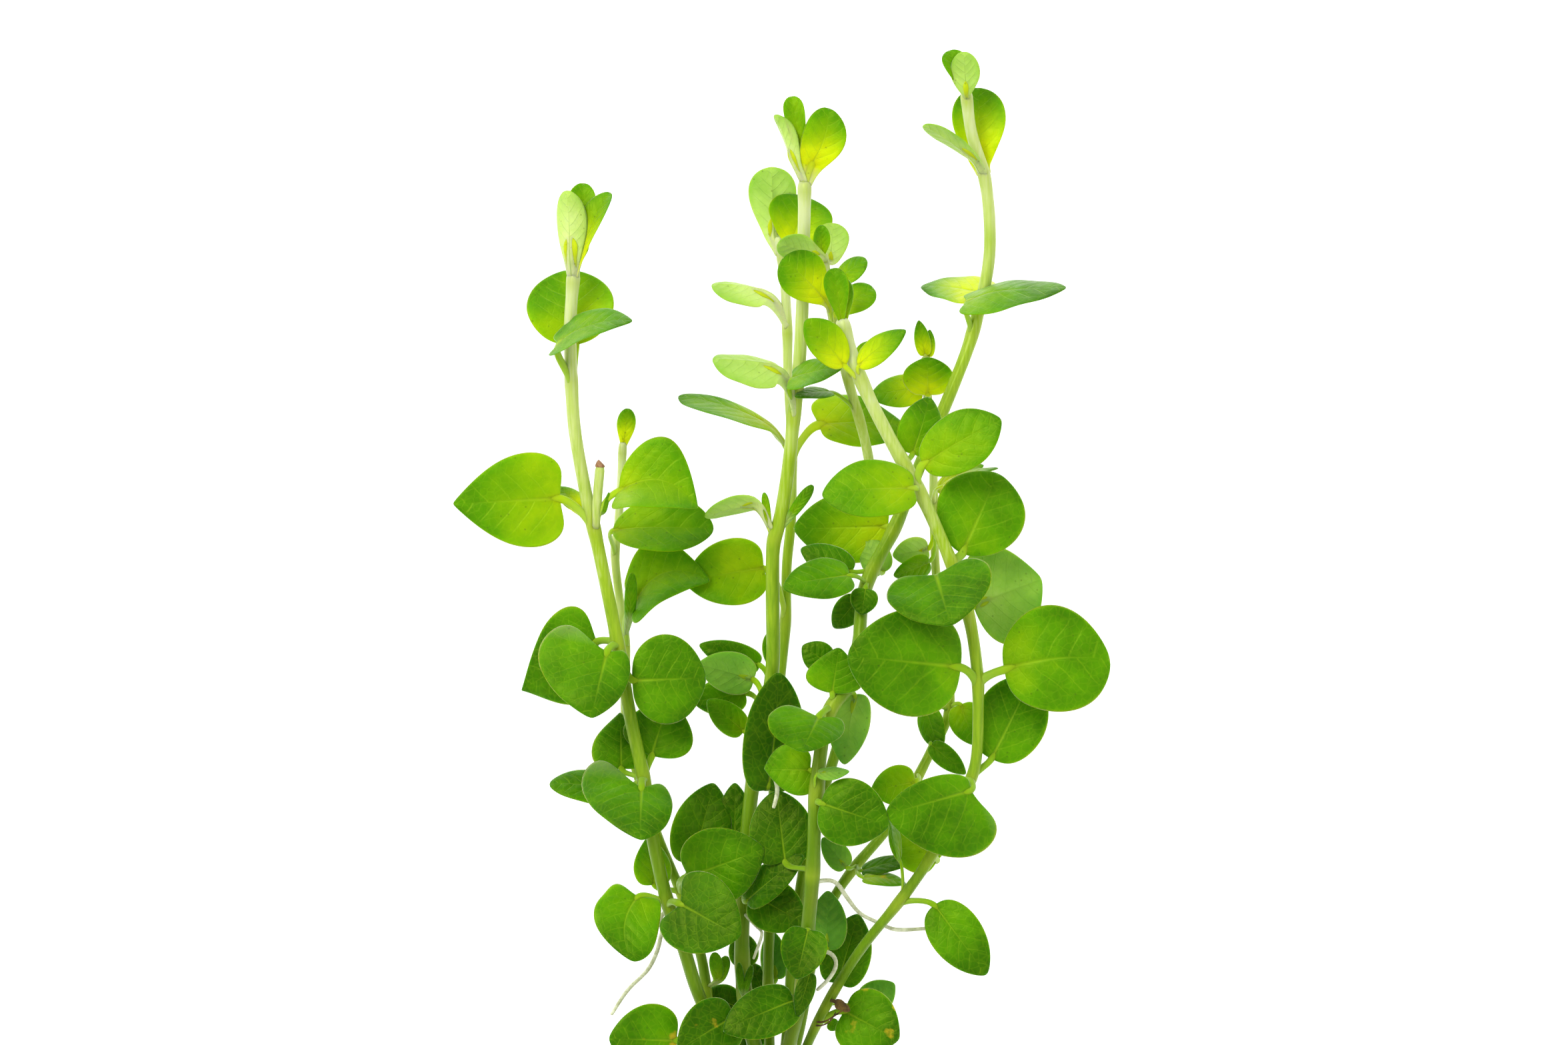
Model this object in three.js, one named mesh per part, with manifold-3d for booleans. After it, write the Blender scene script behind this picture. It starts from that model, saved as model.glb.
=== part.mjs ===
// Creeping jenny, Lysimachia nummularia: one plant of eight leafy shoots, lying on a flat surface.
// Millimetres. The shoots run along +Y, their tips at +Y and the rooted crown at -Y, and +Z is up.
// The growth tables below are in plant coordinates: x to the right and y along the shoots from the
// lowest leaves, and z up from a datum under the plant. The group moves them to the part's origin.

import * as THREE from 'three';
import { mergeVertices } from 'three/addons/utils/BufferGeometryUtils.js';
import Module from 'manifold-3d';

const wasm = await Module();
wasm.setup();

// Driving dimensions

const ORIGIN = [-2.76, 67.81, 8.52]; // plant coordinates of the part's origin, under the middle of its box
const BLADE_THICKNESS = 0.7;
const GAP = 0.3; // between pieces that touch
const STEM_SIDES = 4;
const ROOT_SIDES = 3;
const SIMPLIFY = 0.06; // triangles that move a surface by less than this are left out
const LOBE = 0.12; // depth of the notch at the foot of a blade, as a share of its length
const BELLY = -0.12; // below 0 a blade is widest near its foot, above 0 near its tip
const POINT = 0.03; // how far the tip is drawn out, as a share of the length
const POINTED = 0.2; // how straight the margins run towards the tip

// Where a blade has points: degrees round its outline from the tip, by the least width of such a blade

const STATIONS = [
  { width: 11.5, degrees: [34, 74, 114, 150] },
  { width: 8.3, degrees: [38, 88, 140] },
  { width: 6.1, degrees: [46, 112] },
  { width: 0, degrees: [76] },
];

// Shoots: the middle line from the tip to the crown, and the radius at each end

const STEMS = {
  a: {
    radius: [0.85, 0.92],
    route: [
      [-33.8, 115.7, 34], [-34.3, 108.8, 34.2], [-34.3, 103.8, 34], [-34.1, 98.5, 34], [-33.6, 91.8, 33.8],
      [-32.0, 82.8, 33.2], [-30.7, 77.1, 33], [-29.2, 70, 32.4], [-27.2, 60, 31], [-25.3, 48.8, 29.6],
      [-23.3, 39.6, 28.4], [-22.0, 30.8, 27.3], [-19.7, 20.8, 26], [-17.5, 14.8, 25], [-15.3, 7.8, 24],
      [-11.5, -0.5, 21.5], [-7.5, -7, 18.5],
    ],
  },
  b: {
    radius: [0.55, 0.75],
    route: [
      [-26.7, 90.5, 14], [-27.0, 84, 13.5], [-27.4, 78, 13.5], [-27.9, 73.5, 13.5], [-27.2, 66.8, 13.3],
      [-26.3, 59.8, 13.2], [-26.3, 48.8, 13.6], [-25.2, 42.8, 14.2], [-21.5, 31.3, 15.2], [-17.8, 22.3, 16],
      [-14.8, 12.8, 16.8], [-13.5, 5, 17], [-9.5, -3.5, 16.8], [-6.5, -8, 16.5],
    ],
  },
  c: {
    radius: [0.85, 1.05],
    route: [
      [0.7, 129.5, 28], [0.6, 122.8, 28], [0.4, 111.8, 28], [-0.2, 100.8, 28], [-1.0, 93.8, 28],
      [-1.7, 86.8, 28], [-3.0, 78.8, 27.5], [-4.0, 75.3, 27.3], [-4.1, 66.8, 26.6], [-4.1, 56.8, 25],
      [-5.3, 48.8, 23], [-7.0, 39.8, 21.5], [-7.9, 31.8, 20.5], [-8.5, 21.8, 19.5], [-8.7, 12.8, 19],
      [-7.8, 3.8, 18.2], [-5.2, -6, 17],
    ],
  },
  d: {
    radius: [0.65, 0.75],
    route: [
      [-3.2, 121.5, 14], [-2.3, 115, 13.2], [-1.9, 107.3, 13], [-1.8, 100.8, 13], [-1.3, 92.5, 13.3],
      [-1.2, 87.6, 13.5], [-1.3, 79, 13.3], [-2.0, 71.8, 13], [-2.2, 62.8, 13], [-3.4, 50, 13],
      [-4.1, 34, 13], [-4.6, 18, 13.4], [-4.8, 6.8, 14], [-4.4, -6, 15],
    ],
  },
  e: {
    radius: [0.65, 0.8],
    route: [
      [3.4, 118.8, 28], [4.2, 113.3, 28], [5.4, 107, 27.5], [7.4, 99, 26.5], [8.8, 94.3, 25.5],
      [10.2, 88.6, 23.5], [11.2, 80.8, 20], [10.6, 72.8, 17.5], [9.0, 62.8, 16], [6.2, 46.8, 16.5],
      [1.7, 31.8, 17.5], [-0.8, 16.8, 18.2], [-1.6, 5, 18.2], [-2.6, -6, 17.4],
    ],
  },
  f: {
    radius: [0.95, 0.62],
    route: [
      [6.2, 108.8, 35], [7.4, 104.3, 35], [9.6, 98.5, 35], [13.2, 91.3, 35], [17.8, 83.1, 35],
      [20.7, 76.8, 35], [22.8, 71.8, 34.8], [25.2, 64.3, 34.5], [26.4, 56.8, 34], [26.6, 50.8, 33.8],
      [26.3, 42.8, 32.9], [24.6, 38, 32.3], [19.5, 28.3, 30.2], [15.0, 21.8, 28.5], [9.4, 14.8, 26],
      [5.0, 7.8, 23], [1.6, 1, 20.4], [-1.0, -5.5, 18],
    ],
  },
  g: {
    radius: [0.55, 0.75],
    route: [
      [18.9, 103.5, 12.5], [19.3, 97.1, 12], [20.1, 88, 12], [20.2, 80, 12], [20.6, 70, 12.2],
      [22.2, 58, 13], [22.5, 49.8, 14], [20.0, 44.4, 14.6], [14.2, 33.6, 14.6], [8.0, 26.1, 14],
      [4.2, 20, 12.8], [1.8, 12, 11.8], [0.2, 3, 12], [-2.2, -6.5, 14],
    ],
  },
  h: {
    radius: [0.8, 1.0],
    route: [
      [25.0, 143.3, 18], [25.8, 137, 17.6], [27.8, 130.5, 17], [28.6, 122.8, 17], [28.2, 116, 17.2],
      [25.8, 106.3, 18], [23.4, 99.8, 19], [21.0, 94, 19.6], [17.8, 86.5, 21], [14.4, 78, 23.2],
      [9.8, 68.8, 26.5], [8.8, 60, 29.6], [8.0, 54.8, 31.4], [4.6, 50.8, 32.6], [3.2, 45, 34],
      [2.3, 36.3, 34.6], [1.9, 26.4, 33.2], [1.2, 17.8, 30.8], [0.2, 8, 26.6], [-1.4, 1, 23.4],
      [-3.2, -5.5, 20.4],
    ],
  },
};

// Leaves that are pieces of their own. stem and node say where the stalk leaves its shoot (node is the
// height y on the shoot), notch and tip are the two ends of the midrib, and roll turns the blade about it
// in degrees. arch bows the midrib, cup dishes the blade, sweep bends it sideways, skew slides its halves
// along the midrib, lean makes one half wider, pointed straightens the margins towards the tip and fold
// creases the blade. A wedge of 1 lets the blade narrow all the way to its joint, and stalk widens the stalk.

const LEAVES = {
  leaf_a2_back: { stem: 'a', node: 99, notch: [-34, 104.9, 31.6], tip: [-34.7, 116.3, 27.5], width: 14,
    cup: 0.06, lobe: 0.02, belly: 0.02, pointed: 0, stalk: 1.6 },
  leaf_a2_front: { stem: 'a', node: 99, notch: [-36.2, 104.9, 37], tip: [-24.9, 108.4, 41], width: 9.6,
    roll: -62, cup: 0.06, arch: 0.1, lobe: 0.24, stalk: 2.2 },
  leaf_a3_left: { stem: 'a', node: 77.3, notch: [-35.8, 82, 34.4], tip: [-51.8, 81.2, 36.4], width: 14.6,
    arch: 0.04, lobe: 0.15, belly: -0.3, pointed: 0.45 },
  leaf_a3_right: { stem: 'a', node: 77.3, notch: [-27.2, 83, 35], tip: [-15.2, 80.6, 37], width: 13,
    roll: -26, arch: 0.12, sweep: 0.2, pointed: 0.5, fold: 0.24 },
  leaf_a4_front: { stem: 'a', node: 60, notch: [-28.8, 59.2, 34], tip: [-31.2, 49.2, 38], width: 15,
    cup: -0.05, lean: -0.41, lobe: 0.36 },
  leaf_a4_back: { stem: 'a', node: 60, notch: [-30.4, 60.6, 28.6], tip: [-41.8, 53.2, 26], width: 14,
    skew: 0.2, belly: -0.4, pointed: 0.7 },
  leaf_a4_right: { stem: 'a', node: 60, notch: [-25.1, 54.8, 32.6], tip: [-14, 55.2, 32.4], width: 14.4,
    lobe: 0.06, belly: 0, pointed: 0.05 },
  leaf_a5_front: { stem: 'a', node: 39.8, notch: [-23.7, 38.9, 32], tip: [-23.9, 30.9, 38], width: 14.6,
    cup: -0.06, skew: 0.25, lean: -0.31, lobe: 0.5 },
  leaf_a5_right: { stem: 'a', node: 39.8, notch: [-22.2, 43.4, 26.6], tip: [-19.4, 52, 25], width: 11,
    roll: -10, lobe: 0.02, belly: -0.35 },
  leaf_a6_left: { stem: 'a', node: 20.8, notch: [-24.2, 22.4, 27.4], tip: [-25.1, 12.7, 31.5], width: 11,
    sweep: -0.16, skew: 0.3, lobe: 0.24 },
  leaf_a6_right: { stem: 'a', node: 20.8, notch: [-18, 21.4, 31], tip: [-8.8, 16.6, 35], width: 13.2,
    lobe: 0.32 },
  leaf_a7_left: { stem: 'a', node: -0.4, notch: [-18.5, 0.6, 23], tip: [-28.7, 1, 24.5], width: 11.6 },
  leaf_a7_front: { stem: 'a', node: 0, notch: [-9.8, 4.5, 27], tip: [-18.3, -0.5, 29.5], width: 9.6 },
  leaf_b2_right: { stem: 'b', node: 73.5, notch: [-28.2, 77.2, 19.5], tip: [-12.9, 77.4, 22], width: 10,
    roll: -28, cup: 0.02, lobe: 0.02, belly: 0.15, pointed: 0, fold: 0.1 },
  leaf_b3_right: { stem: 'b', node: 59.8, notch: [-25, 66, 17.5], tip: [-13.6, 69.8, 19.5], width: 11.4,
    roll: -30, sweep: 0.26, lobe: 0.2, fold: 0.18, stalk: 1.5 },
  leaf_b4_front: { stem: 'b', node: 22.5, notch: [-16.8, 25.2, 24.6], tip: [-5.4, 29.6, 27.4],
    width: 12.4 },
  leaf_b4_up: { stem: 'b', node: 22.5, notch: [-16.1, 27, 18.6], tip: [-13, 39.2, 16.6], width: 9.6 },
  leaf_c2_left: { stem: 'c', node: 93.8, notch: [-3.4, 101.2, 29.4], tip: [-13.2, 102.6, 30.6],
    width: 9.6, roll: 60, cup: -0.16, wedge: 1, stalk: 2.4 },
  leaf_c2_right: { stem: 'c', node: 93.8, notch: [-1.2, 100, 31.2], tip: [6.3, 101.4, 34], width: 8.6,
    roll: -60, lobe: 0.2, stalk: 1.6 },
  leaf_c5_up: { stem: 'c', node: 39.8, notch: [-4.8, 38.2, 25.2], tip: [-3.2, 56, 28.4], width: 10,
    roll: 12, belly: -0.05, pointed: 0.05 },
  leaf_c6_right: { stem: 'c', node: 21.8, notch: [-7, 22.4, 22.6], tip: [0.8, 18.2, 24], width: 8.4 },
  leaf_c8_left: { stem: 'c', node: 7, notch: [-0.9, 6.8, 28], tip: [-11.5, 2.2, 30], width: 8.6,
    roll: 18 },
  leaf_d1_back: { stem: 'd', node: 118.5, notch: [-3.9, 121.6, 13], tip: [-4.3, 132.1, 14], width: 7.8,
    roll: 180, cup: 0.14, belly: 0.35, wedge: 1, stalk: 1.8 },
  leaf_d1_cup: { stem: 'd', node: 118.5, notch: [-1.2, 120.6, 14.8], tip: [1, 127.6, 12.8], width: 10.6,
    cup: 0.16, wedge: 0.8, stalk: 1.8 },
  leaf_d3_left: { stem: 'd', node: 107.3, notch: [-5, 112.7, 12.8], tip: [-13.4, 114.2, 11.8], width: 7.4,
    roll: 64, cup: -0.18, wedge: 1, stalk: 2.4 },
  leaf_d5_left: { stem: 'd', node: 87.6, notch: [-4.8, 93.2, 15.6], tip: [-18.4, 97.4, 16.6], width: 8,
    roll: 62, cup: 0.06, lean: 0.4, wedge: 0.6, stalk: 1.8 },
  leaf_d5_right: { stem: 'd', node: 87.6, notch: [2.8, 93.2, 15.4], tip: [15.9, 93, 14.4], width: 10.6,
    roll: -36, skew: -0.3, lean: 0.1, stalk: 1.6 },
  leaf_d6_left: { stem: 'd', node: 63.5, notch: [-5.4, 71.6, 17.4], tip: [-17.4, 69.4, 17.4], width: 11,
    roll: 12, cup: -0.04, fold: 0.1 },
  leaf_e2_left: { stem: 'e', node: 107.4, notch: [3.6, 111.9, 31], tip: [-2.6, 118, 32.6], width: 8.2,
    roll: 14, cup: 0.1, belly: 0.1, wedge: 0.5 },
  leaf_f2_left: { stem: 'f', node: 83.3, notch: [17, 83.5, 37.4], tip: [3.2, 82.4, 39.4], width: 10.2,
    roll: 24, arch: 0.08, belly: 0.05 },
  leaf_f2_right: { stem: 'f', node: 83.3, notch: [18.2, 87, 36.8], tip: [30, 93.8, 38.4], width: 9.8,
    roll: -15, lobe: 0.05, belly: 0.1, stalk: 1.4 },
  leaf_f3_right: { stem: 'f', node: 72.2, notch: [24.2, 73.7, 33], tip: [29.6, 85.8, 31.4], width: 14.4,
    lobe: 0, belly: 0.08, pointed: 0.05, stalk: 1.2 },
  leaf_f4_front: { stem: 'f', node: 64.6, notch: [20.2, 70.7, 38.4], tip: [22.4, 63, 44.6], width: 17,
    cup: 0.05, lobe: 0.28 },
  leaf_f4_right: { stem: 'f', node: 64.6, notch: [25.8, 66, 30.4], tip: [36.2, 70, 27.6], width: 16.4,
    roll: 176, lobe: 0.06 },
  leaf_f5_left: { stem: 'f', node: 54.2, notch: [24, 56.8, 36.4], tip: [7, 58.6, 38.6], width: 17.2,
    lobe: 0.05, pointed: 0 },
  leaf_f5_right: { stem: 'f', node: 54.2, notch: [30.4, 56.4, 34.6], tip: [46.3, 58, 35.6], width: 17.2,
    sweep: 0.12, skew: -0.08, lobe: 0.05, belly: -0.02, pointed: 0 },
  leaf_f6_left: { stem: 'f', node: 40, notch: [25.6, 38.4, 35.4], tip: [12.8, 34.9, 38], width: 13.8,
    skew: -0.1, lean: 0.45, lobe: 0.22, pointed: 0 },
  leaf_f6_right: { stem: 'f', node: 40, notch: [28.6, 43, 31.4], tip: [34.8, 55.4, 28.6], width: 11.6,
    lobe: 0.05, belly: 0, pointed: 0.1 },
  leaf_f7_right: { stem: 'f', node: 21.2, notch: [20.1, 21.2, 29.6], tip: [27.9, 10.7, 30.4], width: 8.4,
    lobe: 0.04, pointed: 0.1 },
  leaf_f8_left: { stem: 'f', node: 8, notch: [5.7, 9, 19], tip: [8.8, 19.5, 17], width: 8 },
  leaf_f9_right: { stem: 'f', node: 3, notch: [6.6, 5, 22], tip: [14.9, 0.8, 24], width: 10.8 },
  leaf_h1_back: { stem: 'h', node: 130.5, notch: [27.2, 132.6, 15], tip: [26.8, 144.1, 12.6], width: 8.7,
    cup: 0.14, belly: 0, wedge: 1, stalk: 2.2 },
  leaf_h2_front: { stem: 'h', node: 106.6, notch: [25, 111.6, 21.4], tip: [40, 113.6, 24.4], width: 12,
    roll: -68, cup: -0.06, lobe: 0.2 },
  leaf_h2_back: { stem: 'h', node: 106.6, notch: [27.2, 113.2, 14.4], tip: [18.2, 113.8, 12.6], width: 12,
    roll: 68, lobe: 0.4 },
  leaf_h3_front: { stem: 'h', node: 68.9, notch: [7.5, 70.5, 30], tip: [-2.6, 68.5, 33], width: 8,
    roll: 35 },
  leaf_h3_back: { stem: 'h', node: 77, notch: [13.3, 77.8, 20.5], tip: [-1, 77.5, 18], width: 11.5 },
  leaf_h5_front: { stem: 'h', node: 50.5, notch: [2.8, 49.4, 37], tip: [0.2, 44.3, 42.6], width: 11.8,
    skew: -0.42, lean: -0.22, lobe: 0.3 },
  leaf_h6_left: { stem: 'h', node: 39, notch: [1.6, 41.4, 33], tip: [-5.4, 41.6, 32], width: 8.2,
    skew: -0.2, lobe: 0.2, pointed: 0.5 },
  leaf_h6_right: { stem: 'h', node: 36.6, notch: [3, 36.6, 36.8], tip: [13.3, 33.2, 38], width: 10.8,
    lobe: 0.05 },
  leaf_h7_left: { stem: 'h', node: 26, notch: [-2.2, 27.4, 27], tip: [-3.6, 38.2, 25], width: 10.4,
    pointed: 0 },
  leaf_h9_front: { stem: 'h', node: 16, notch: [1.2, 17.6, 33], tip: [-0.6, 10.2, 35], width: 7.4,
    cup: 0.16 },
};

// Young and small leaves, fused to the shoot they grow from, from the tip of each shoot down. A blade
// with a width below 4 is a bud or a leaf seen on edge.

const SMALL_LEAVES = [
  { stem: 'a', node: 114.5, notch: [-34.2, 118.5, 35.6], tip: [-34.8, 128.1, 35.8], width: 5.6, roll: 160,
    cup: 0.22, belly: 0, wedge: 1, stalk: 2.6 },
  { stem: 'a', node: 114.5, notch: [-33, 118, 34.8], tip: [-28.2, 127.8, 35], width: 5, roll: -42,
    cup: 0.22, belly: 0.4, wedge: 1, stalk: 2.4 },
  { stem: 'a', node: 115, notch: [-33.4, 118.5, 33.4], tip: [-32.3, 129.3, 32.8], width: 5, cup: 0.2,
    belly: 0.7, wedge: 1 },
  { stem: 'a', node: 77.3, notch: [-32.4, 80.4, 31], tip: [-36.8, 83.8, 29], width: 4.4, roll: 40,
    stalk: 1.5 },
  { stem: 'a', node: 39.8, notch: [-26.8, 41.4, 25.6], tip: [-27, 50, 23.4], width: 9.6, belly: -0.35,
    pointed: 0.7 },
  { stem: 'a', node: 39.8, notch: [-27, 38, 26.6], tip: [-37.7, 39.2, 27], width: 7.6, roll: 42,
    pointed: 0 },
  { stem: 'b', node: 88.6, notch: [-26.5, 90.6, 14], tip: [-25.9, 95.7, 14], width: 3.3, belly: 0.1,
    wedge: 1 },
  { stem: 'b', node: 22.5, notch: [-22, 23.8, 18.4], tip: [-22.8, 31.4, 17], width: 7, roll: 25,
    belly: -0.3, pointed: 0.6 },
  { stem: 'c', node: 129.2, notch: [0, 134.5, 28.6], tip: [-1.3, 142.4, 28.6], width: 3.7, cup: 0.2,
    belly: 1.1, wedge: 1 },
  { stem: 'c', node: 128.9, notch: [-0.9, 132.5, 28.4], tip: [-3.8, 139.6, 29], width: 4.4, roll: 125,
    cup: 0.2, belly: 0.3, wedge: 1, stalk: 2.2 },
  { stem: 'c', node: 128.4, notch: [1.7, 132, 28.6], tip: [4.3, 140.6, 29.2], width: 7.6, cup: 0.1,
    sweep: -0.08, belly: -0.1, wedge: 1, stalk: 2.2 },
  { stem: 'c', node: 75.6, notch: [-7, 81.2, 28], tip: [-14.4, 79.4, 30], width: 5.4, roll: 128,
    cup: 0.05, wedge: 0.8, stalk: 2 },
  { stem: 'c', node: 49, notch: [-6, 57, 15], tip: [-15.3, 60, 15], width: 5 },
  { stem: 'c', node: 49, notch: [-6.9, 54.8, 21.8], tip: [-15.4, 57.2, 22.6], width: 7.4, roll: 168 },
  { stem: 'c', node: 49, notch: [-8.2, 52.8, 17.6], tip: [-16.2, 51.4, 17.4], width: 6.8 },
  { stem: 'c', node: 46, notch: [-8.4, 47, 21], tip: [-14, 51.8, 22], width: 5.2 },
  { stem: 'c', node: 40, notch: [-3, 45, 24], tip: [-3.7, 56, 27], width: 5.8 },
  { stem: 'c', node: 28, notch: [-9.8, 31, 18], tip: [-9.8, 39.3, 17], width: 5.5 },
  { stem: 'c', node: 21.8, notch: [-8.1, 21.5, 24.4], tip: [0.7, 28.6, 27.6], width: 6.2, roll: -20,
    cup: 0.08 },
  { stem: 'c', node: 12, notch: [-8.2, 11.6, 17], tip: [-8.9, 16.8, 15], width: 5.2 },
  { stem: 'd', node: 62.5, notch: [-3.8, 61.8, 11], tip: [-4, 56, 10], width: 4.2 },
  { stem: 'e', node: 117, notch: [3, 118.2, 29], tip: [-3.4, 120.2, 31], width: 6.4, roll: 140,
    wedge: 0.8, stalk: 2 },
  { stem: 'e', node: 117, notch: [4.5, 117.3, 25], tip: [5, 123.5, 23], width: 6, roll: 180, belly: 0.6,
    wedge: 1 },
  { stem: 'e', node: 118, notch: [3.3, 118.6, 29], tip: [3.2, 123, 30], width: 3, cup: 0.4, wedge: 1 },
  { stem: 'e', node: 110, notch: [4.8, 113.8, 27], tip: [10.1, 117.8, 28], width: 5, roll: -40,
    wedge: 0.4 },
  { stem: 'e', node: 107, notch: [5.4, 109.6, 30], tip: [11.1, 113.6, 29], width: 5.8, roll: -30,
    belly: 0.3, wedge: 0.6 },
  { stem: 'e', node: 99.5, notch: [8.8, 102.8, 29], tip: [11.4, 105.5, 28], width: 3.4 },
  { stem: 'e', node: 94.4, notch: [4.6, 98, 27.5], tip: [-0.8, 97.1, 30.5], width: 5.5, roll: 65,
    stalk: 1.6 },
  { stem: 'f', node: 107, notch: [6.2, 108.4, 35.4], tip: [5, 116.5, 36], width: 4.4, cup: 0.25,
    belly: 0.6, wedge: 1 },
  { stem: 'f', node: 107, notch: [6.6, 108.4, 34.4], tip: [6.6, 115, 33.8], width: 3.2, belly: 0.3,
    wedge: 1 },
  { stem: 'f', node: 98.7, notch: [6.7, 101.7, 36.4], tip: [0.7, 108.7, 38], width: 6.8, roll: 16,
    cup: 0.14, lobe: 0.04, belly: 0.1 },
  { stem: 'f', node: 98.7, notch: [8.6, 101.7, 36.4], tip: [15.9, 107.1, 38], width: 5.2, roll: -32,
    lobe: 0.04 },
  { stem: 'f', node: 86.8, notch: [16.8, 88.6, 32.8], tip: [19.4, 97.3, 31], width: 7.8, roll: 10 },
  { stem: 'f', node: 28.4, notch: [20.6, 27.6, 26.5], tip: [13.4, 33, 24], width: 8.6 },
  { stem: 'f', node: 21.9, notch: [15, 28, 29], tip: [13.2, 33.8, 31], width: 6, roll: 75 },
  { stem: 'f', node: 6, notch: [9.5, 5.5, 17], tip: [14.3, 9, 16], width: 6, roll: 170 },
  { stem: 'g', node: 103, notch: [18.9, 103.6, 12.6], tip: [17.9, 109, 12.8], width: 2.8 },
  { stem: 'g', node: 103, notch: [19.4, 103.4, 12], tip: [19.6, 107.6, 12], width: 2.2 },
  { stem: 'g', node: 97.4, notch: [18.5, 98.5, 12], tip: [10.5, 97.5, 11], width: 6.5, roll: 30 },
  { stem: 'g', node: 97.4, notch: [19.3, 97.6, 14.6], tip: [19.3, 103.4, 16.6], width: 8.8, belly: 0.1 },
  { stem: 'g', node: 81, notch: [20.7, 83.5, 16], tip: [27.8, 87, 18], width: 5.5, roll: -55 },
  { stem: 'g', node: 81, notch: [21.5, 84, 20], tip: [30, 86.5, 21], width: 6, roll: -78 },
  { stem: 'g', node: 79.5, notch: [19.4, 74.4, 14.6], tip: [13.9, 73.4, 15], width: 5, roll: 178 },
  { stem: 'g', node: 79, notch: [19.6, 72.4, 17], tip: [14, 70.4, 18], width: 4.8, roll: -28 },
  { stem: 'g', node: 50.4, notch: [24.2, 51, 15.5], tip: [26.4, 44.8, 17], width: 6 },
  { stem: 'g', node: 49.8, notch: [19, 50.4, 17], tip: [21.3, 43.9, 18], width: 5, roll: 25 },
  { stem: 'g', node: 44.6, notch: [19.7, 45, 19], tip: [25, 40.5, 20], width: 3.8 },
  { stem: 'g', node: 40, notch: [17.4, 39.4, 19], tip: [10.6, 38, 20], width: 7 },
  { stem: 'g', node: 26.4, notch: [9.3, 26, 19], tip: [17.3, 27.5, 20], width: 4.5, roll: -50 },
  { stem: 'g', node: 26.2, notch: [9.5, 25, 21], tip: [16, 24, 22], width: 5, roll: -60 },
  { stem: 'g', node: 26.4, notch: [7, 26.5, 19], tip: [3.3, 31, 18], width: 4.5, roll: 170 },
  { stem: 'h', node: 142, notch: [24.8, 143.2, 18.6], tip: [22.4, 149.56, 17.8], width: 4.2, roll: 10,
    cup: 0.2, belly: 0.8, wedge: 1 },
  { stem: 'h', node: 142, notch: [25, 143, 19.6], tip: [24.6, 149.3, 20], width: 5.2, roll: 175, cup: 0.1,
    belly: -0.3, wedge: 1 },
  { stem: 'h', node: 130.5, notch: [26, 133.4, 19.4], tip: [18.4, 138.2, 21.4], width: 5.2, roll: 118,
    belly: 0.3, wedge: 1, stalk: 2.2 },
  { stem: 'h', node: 71, notch: [12.5, 70.8, 22], tip: [9.5, 76.3, 20], width: 5.6, roll: 170 },
  { stem: 'h', node: 71, notch: [7.8, 71, 26], tip: [0, 74.5, 25], width: 6, roll: 20 },
  { stem: 'h', node: 69.2, notch: [9.8, 68.5, 29], tip: [9.2, 64.5, 30], width: 4.8 },
  { stem: 'h', node: 69, notch: [8.8, 67, 24], tip: [5, 62.5, 22], width: 5 },
  { stem: 'h', node: 51.4, notch: [4.4, 57.2, 30], tip: [0.3, 60, 30], width: 5.4 },
  { stem: 'h', node: 51.2, notch: [4.8, 52.8, 33.5], tip: [5.8, 59.8, 34], width: 9, lobe: 0, belly: -0.5,
    pointed: 0 },
  { stem: 'h', node: 50.8, notch: [8.2, 52.8, 29], tip: [6.6, 42, 28], width: 7.6, roll: 160 },
  { stem: 'h', node: 37, notch: [2.6, 41, 37], tip: [7.4, 41.3, 38], width: 3.4, roll: 130 },
  { stem: 'h', node: 13, notch: [4, 14.2, 24], tip: [4.2, 23.2, 22], width: 6.8, roll: 170 },
  { stem: 'h', node: 9, notch: [1.5, 11, 29], tip: [-0.4, 4.3, 29], width: 3.4 },
  { stem: 'c', node: 4.5, notch: [-9.4, 5.4, 15.6], tip: [-14.6, 7.4, 14.4], width: 6 },
  { stem: 'd', node: 3, notch: [-5.6, 2.4, 11], tip: [-11, -0.6, 10], width: 6.5 },
  { stem: 'd', node: 8, notch: [-3.6, 9.4, 12], tip: [-4.4, 17, 11], width: 4.8, roll: 175 },
  { stem: 'd', node: 5, notch: [-4.6, 5.4, 10.6], tip: [-7.6, 12, 9.4], width: 5.2 },
];

const CROWN = { centre: [-4, -9.6, 15], radii: [5.4, 4.4, 6.3] };

// The old stem above the third joint of shoot a: a cut stub that stands beside the shoot that took over

const STUB = { stem: 'a', foot: [-30.7, 77.3, 33.4], top: [-29.8, 87.2, 34.6], radius: 0.75 };

// Roots that leave the low joints, as bars along their middle lines, each fused to its shoot

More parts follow.
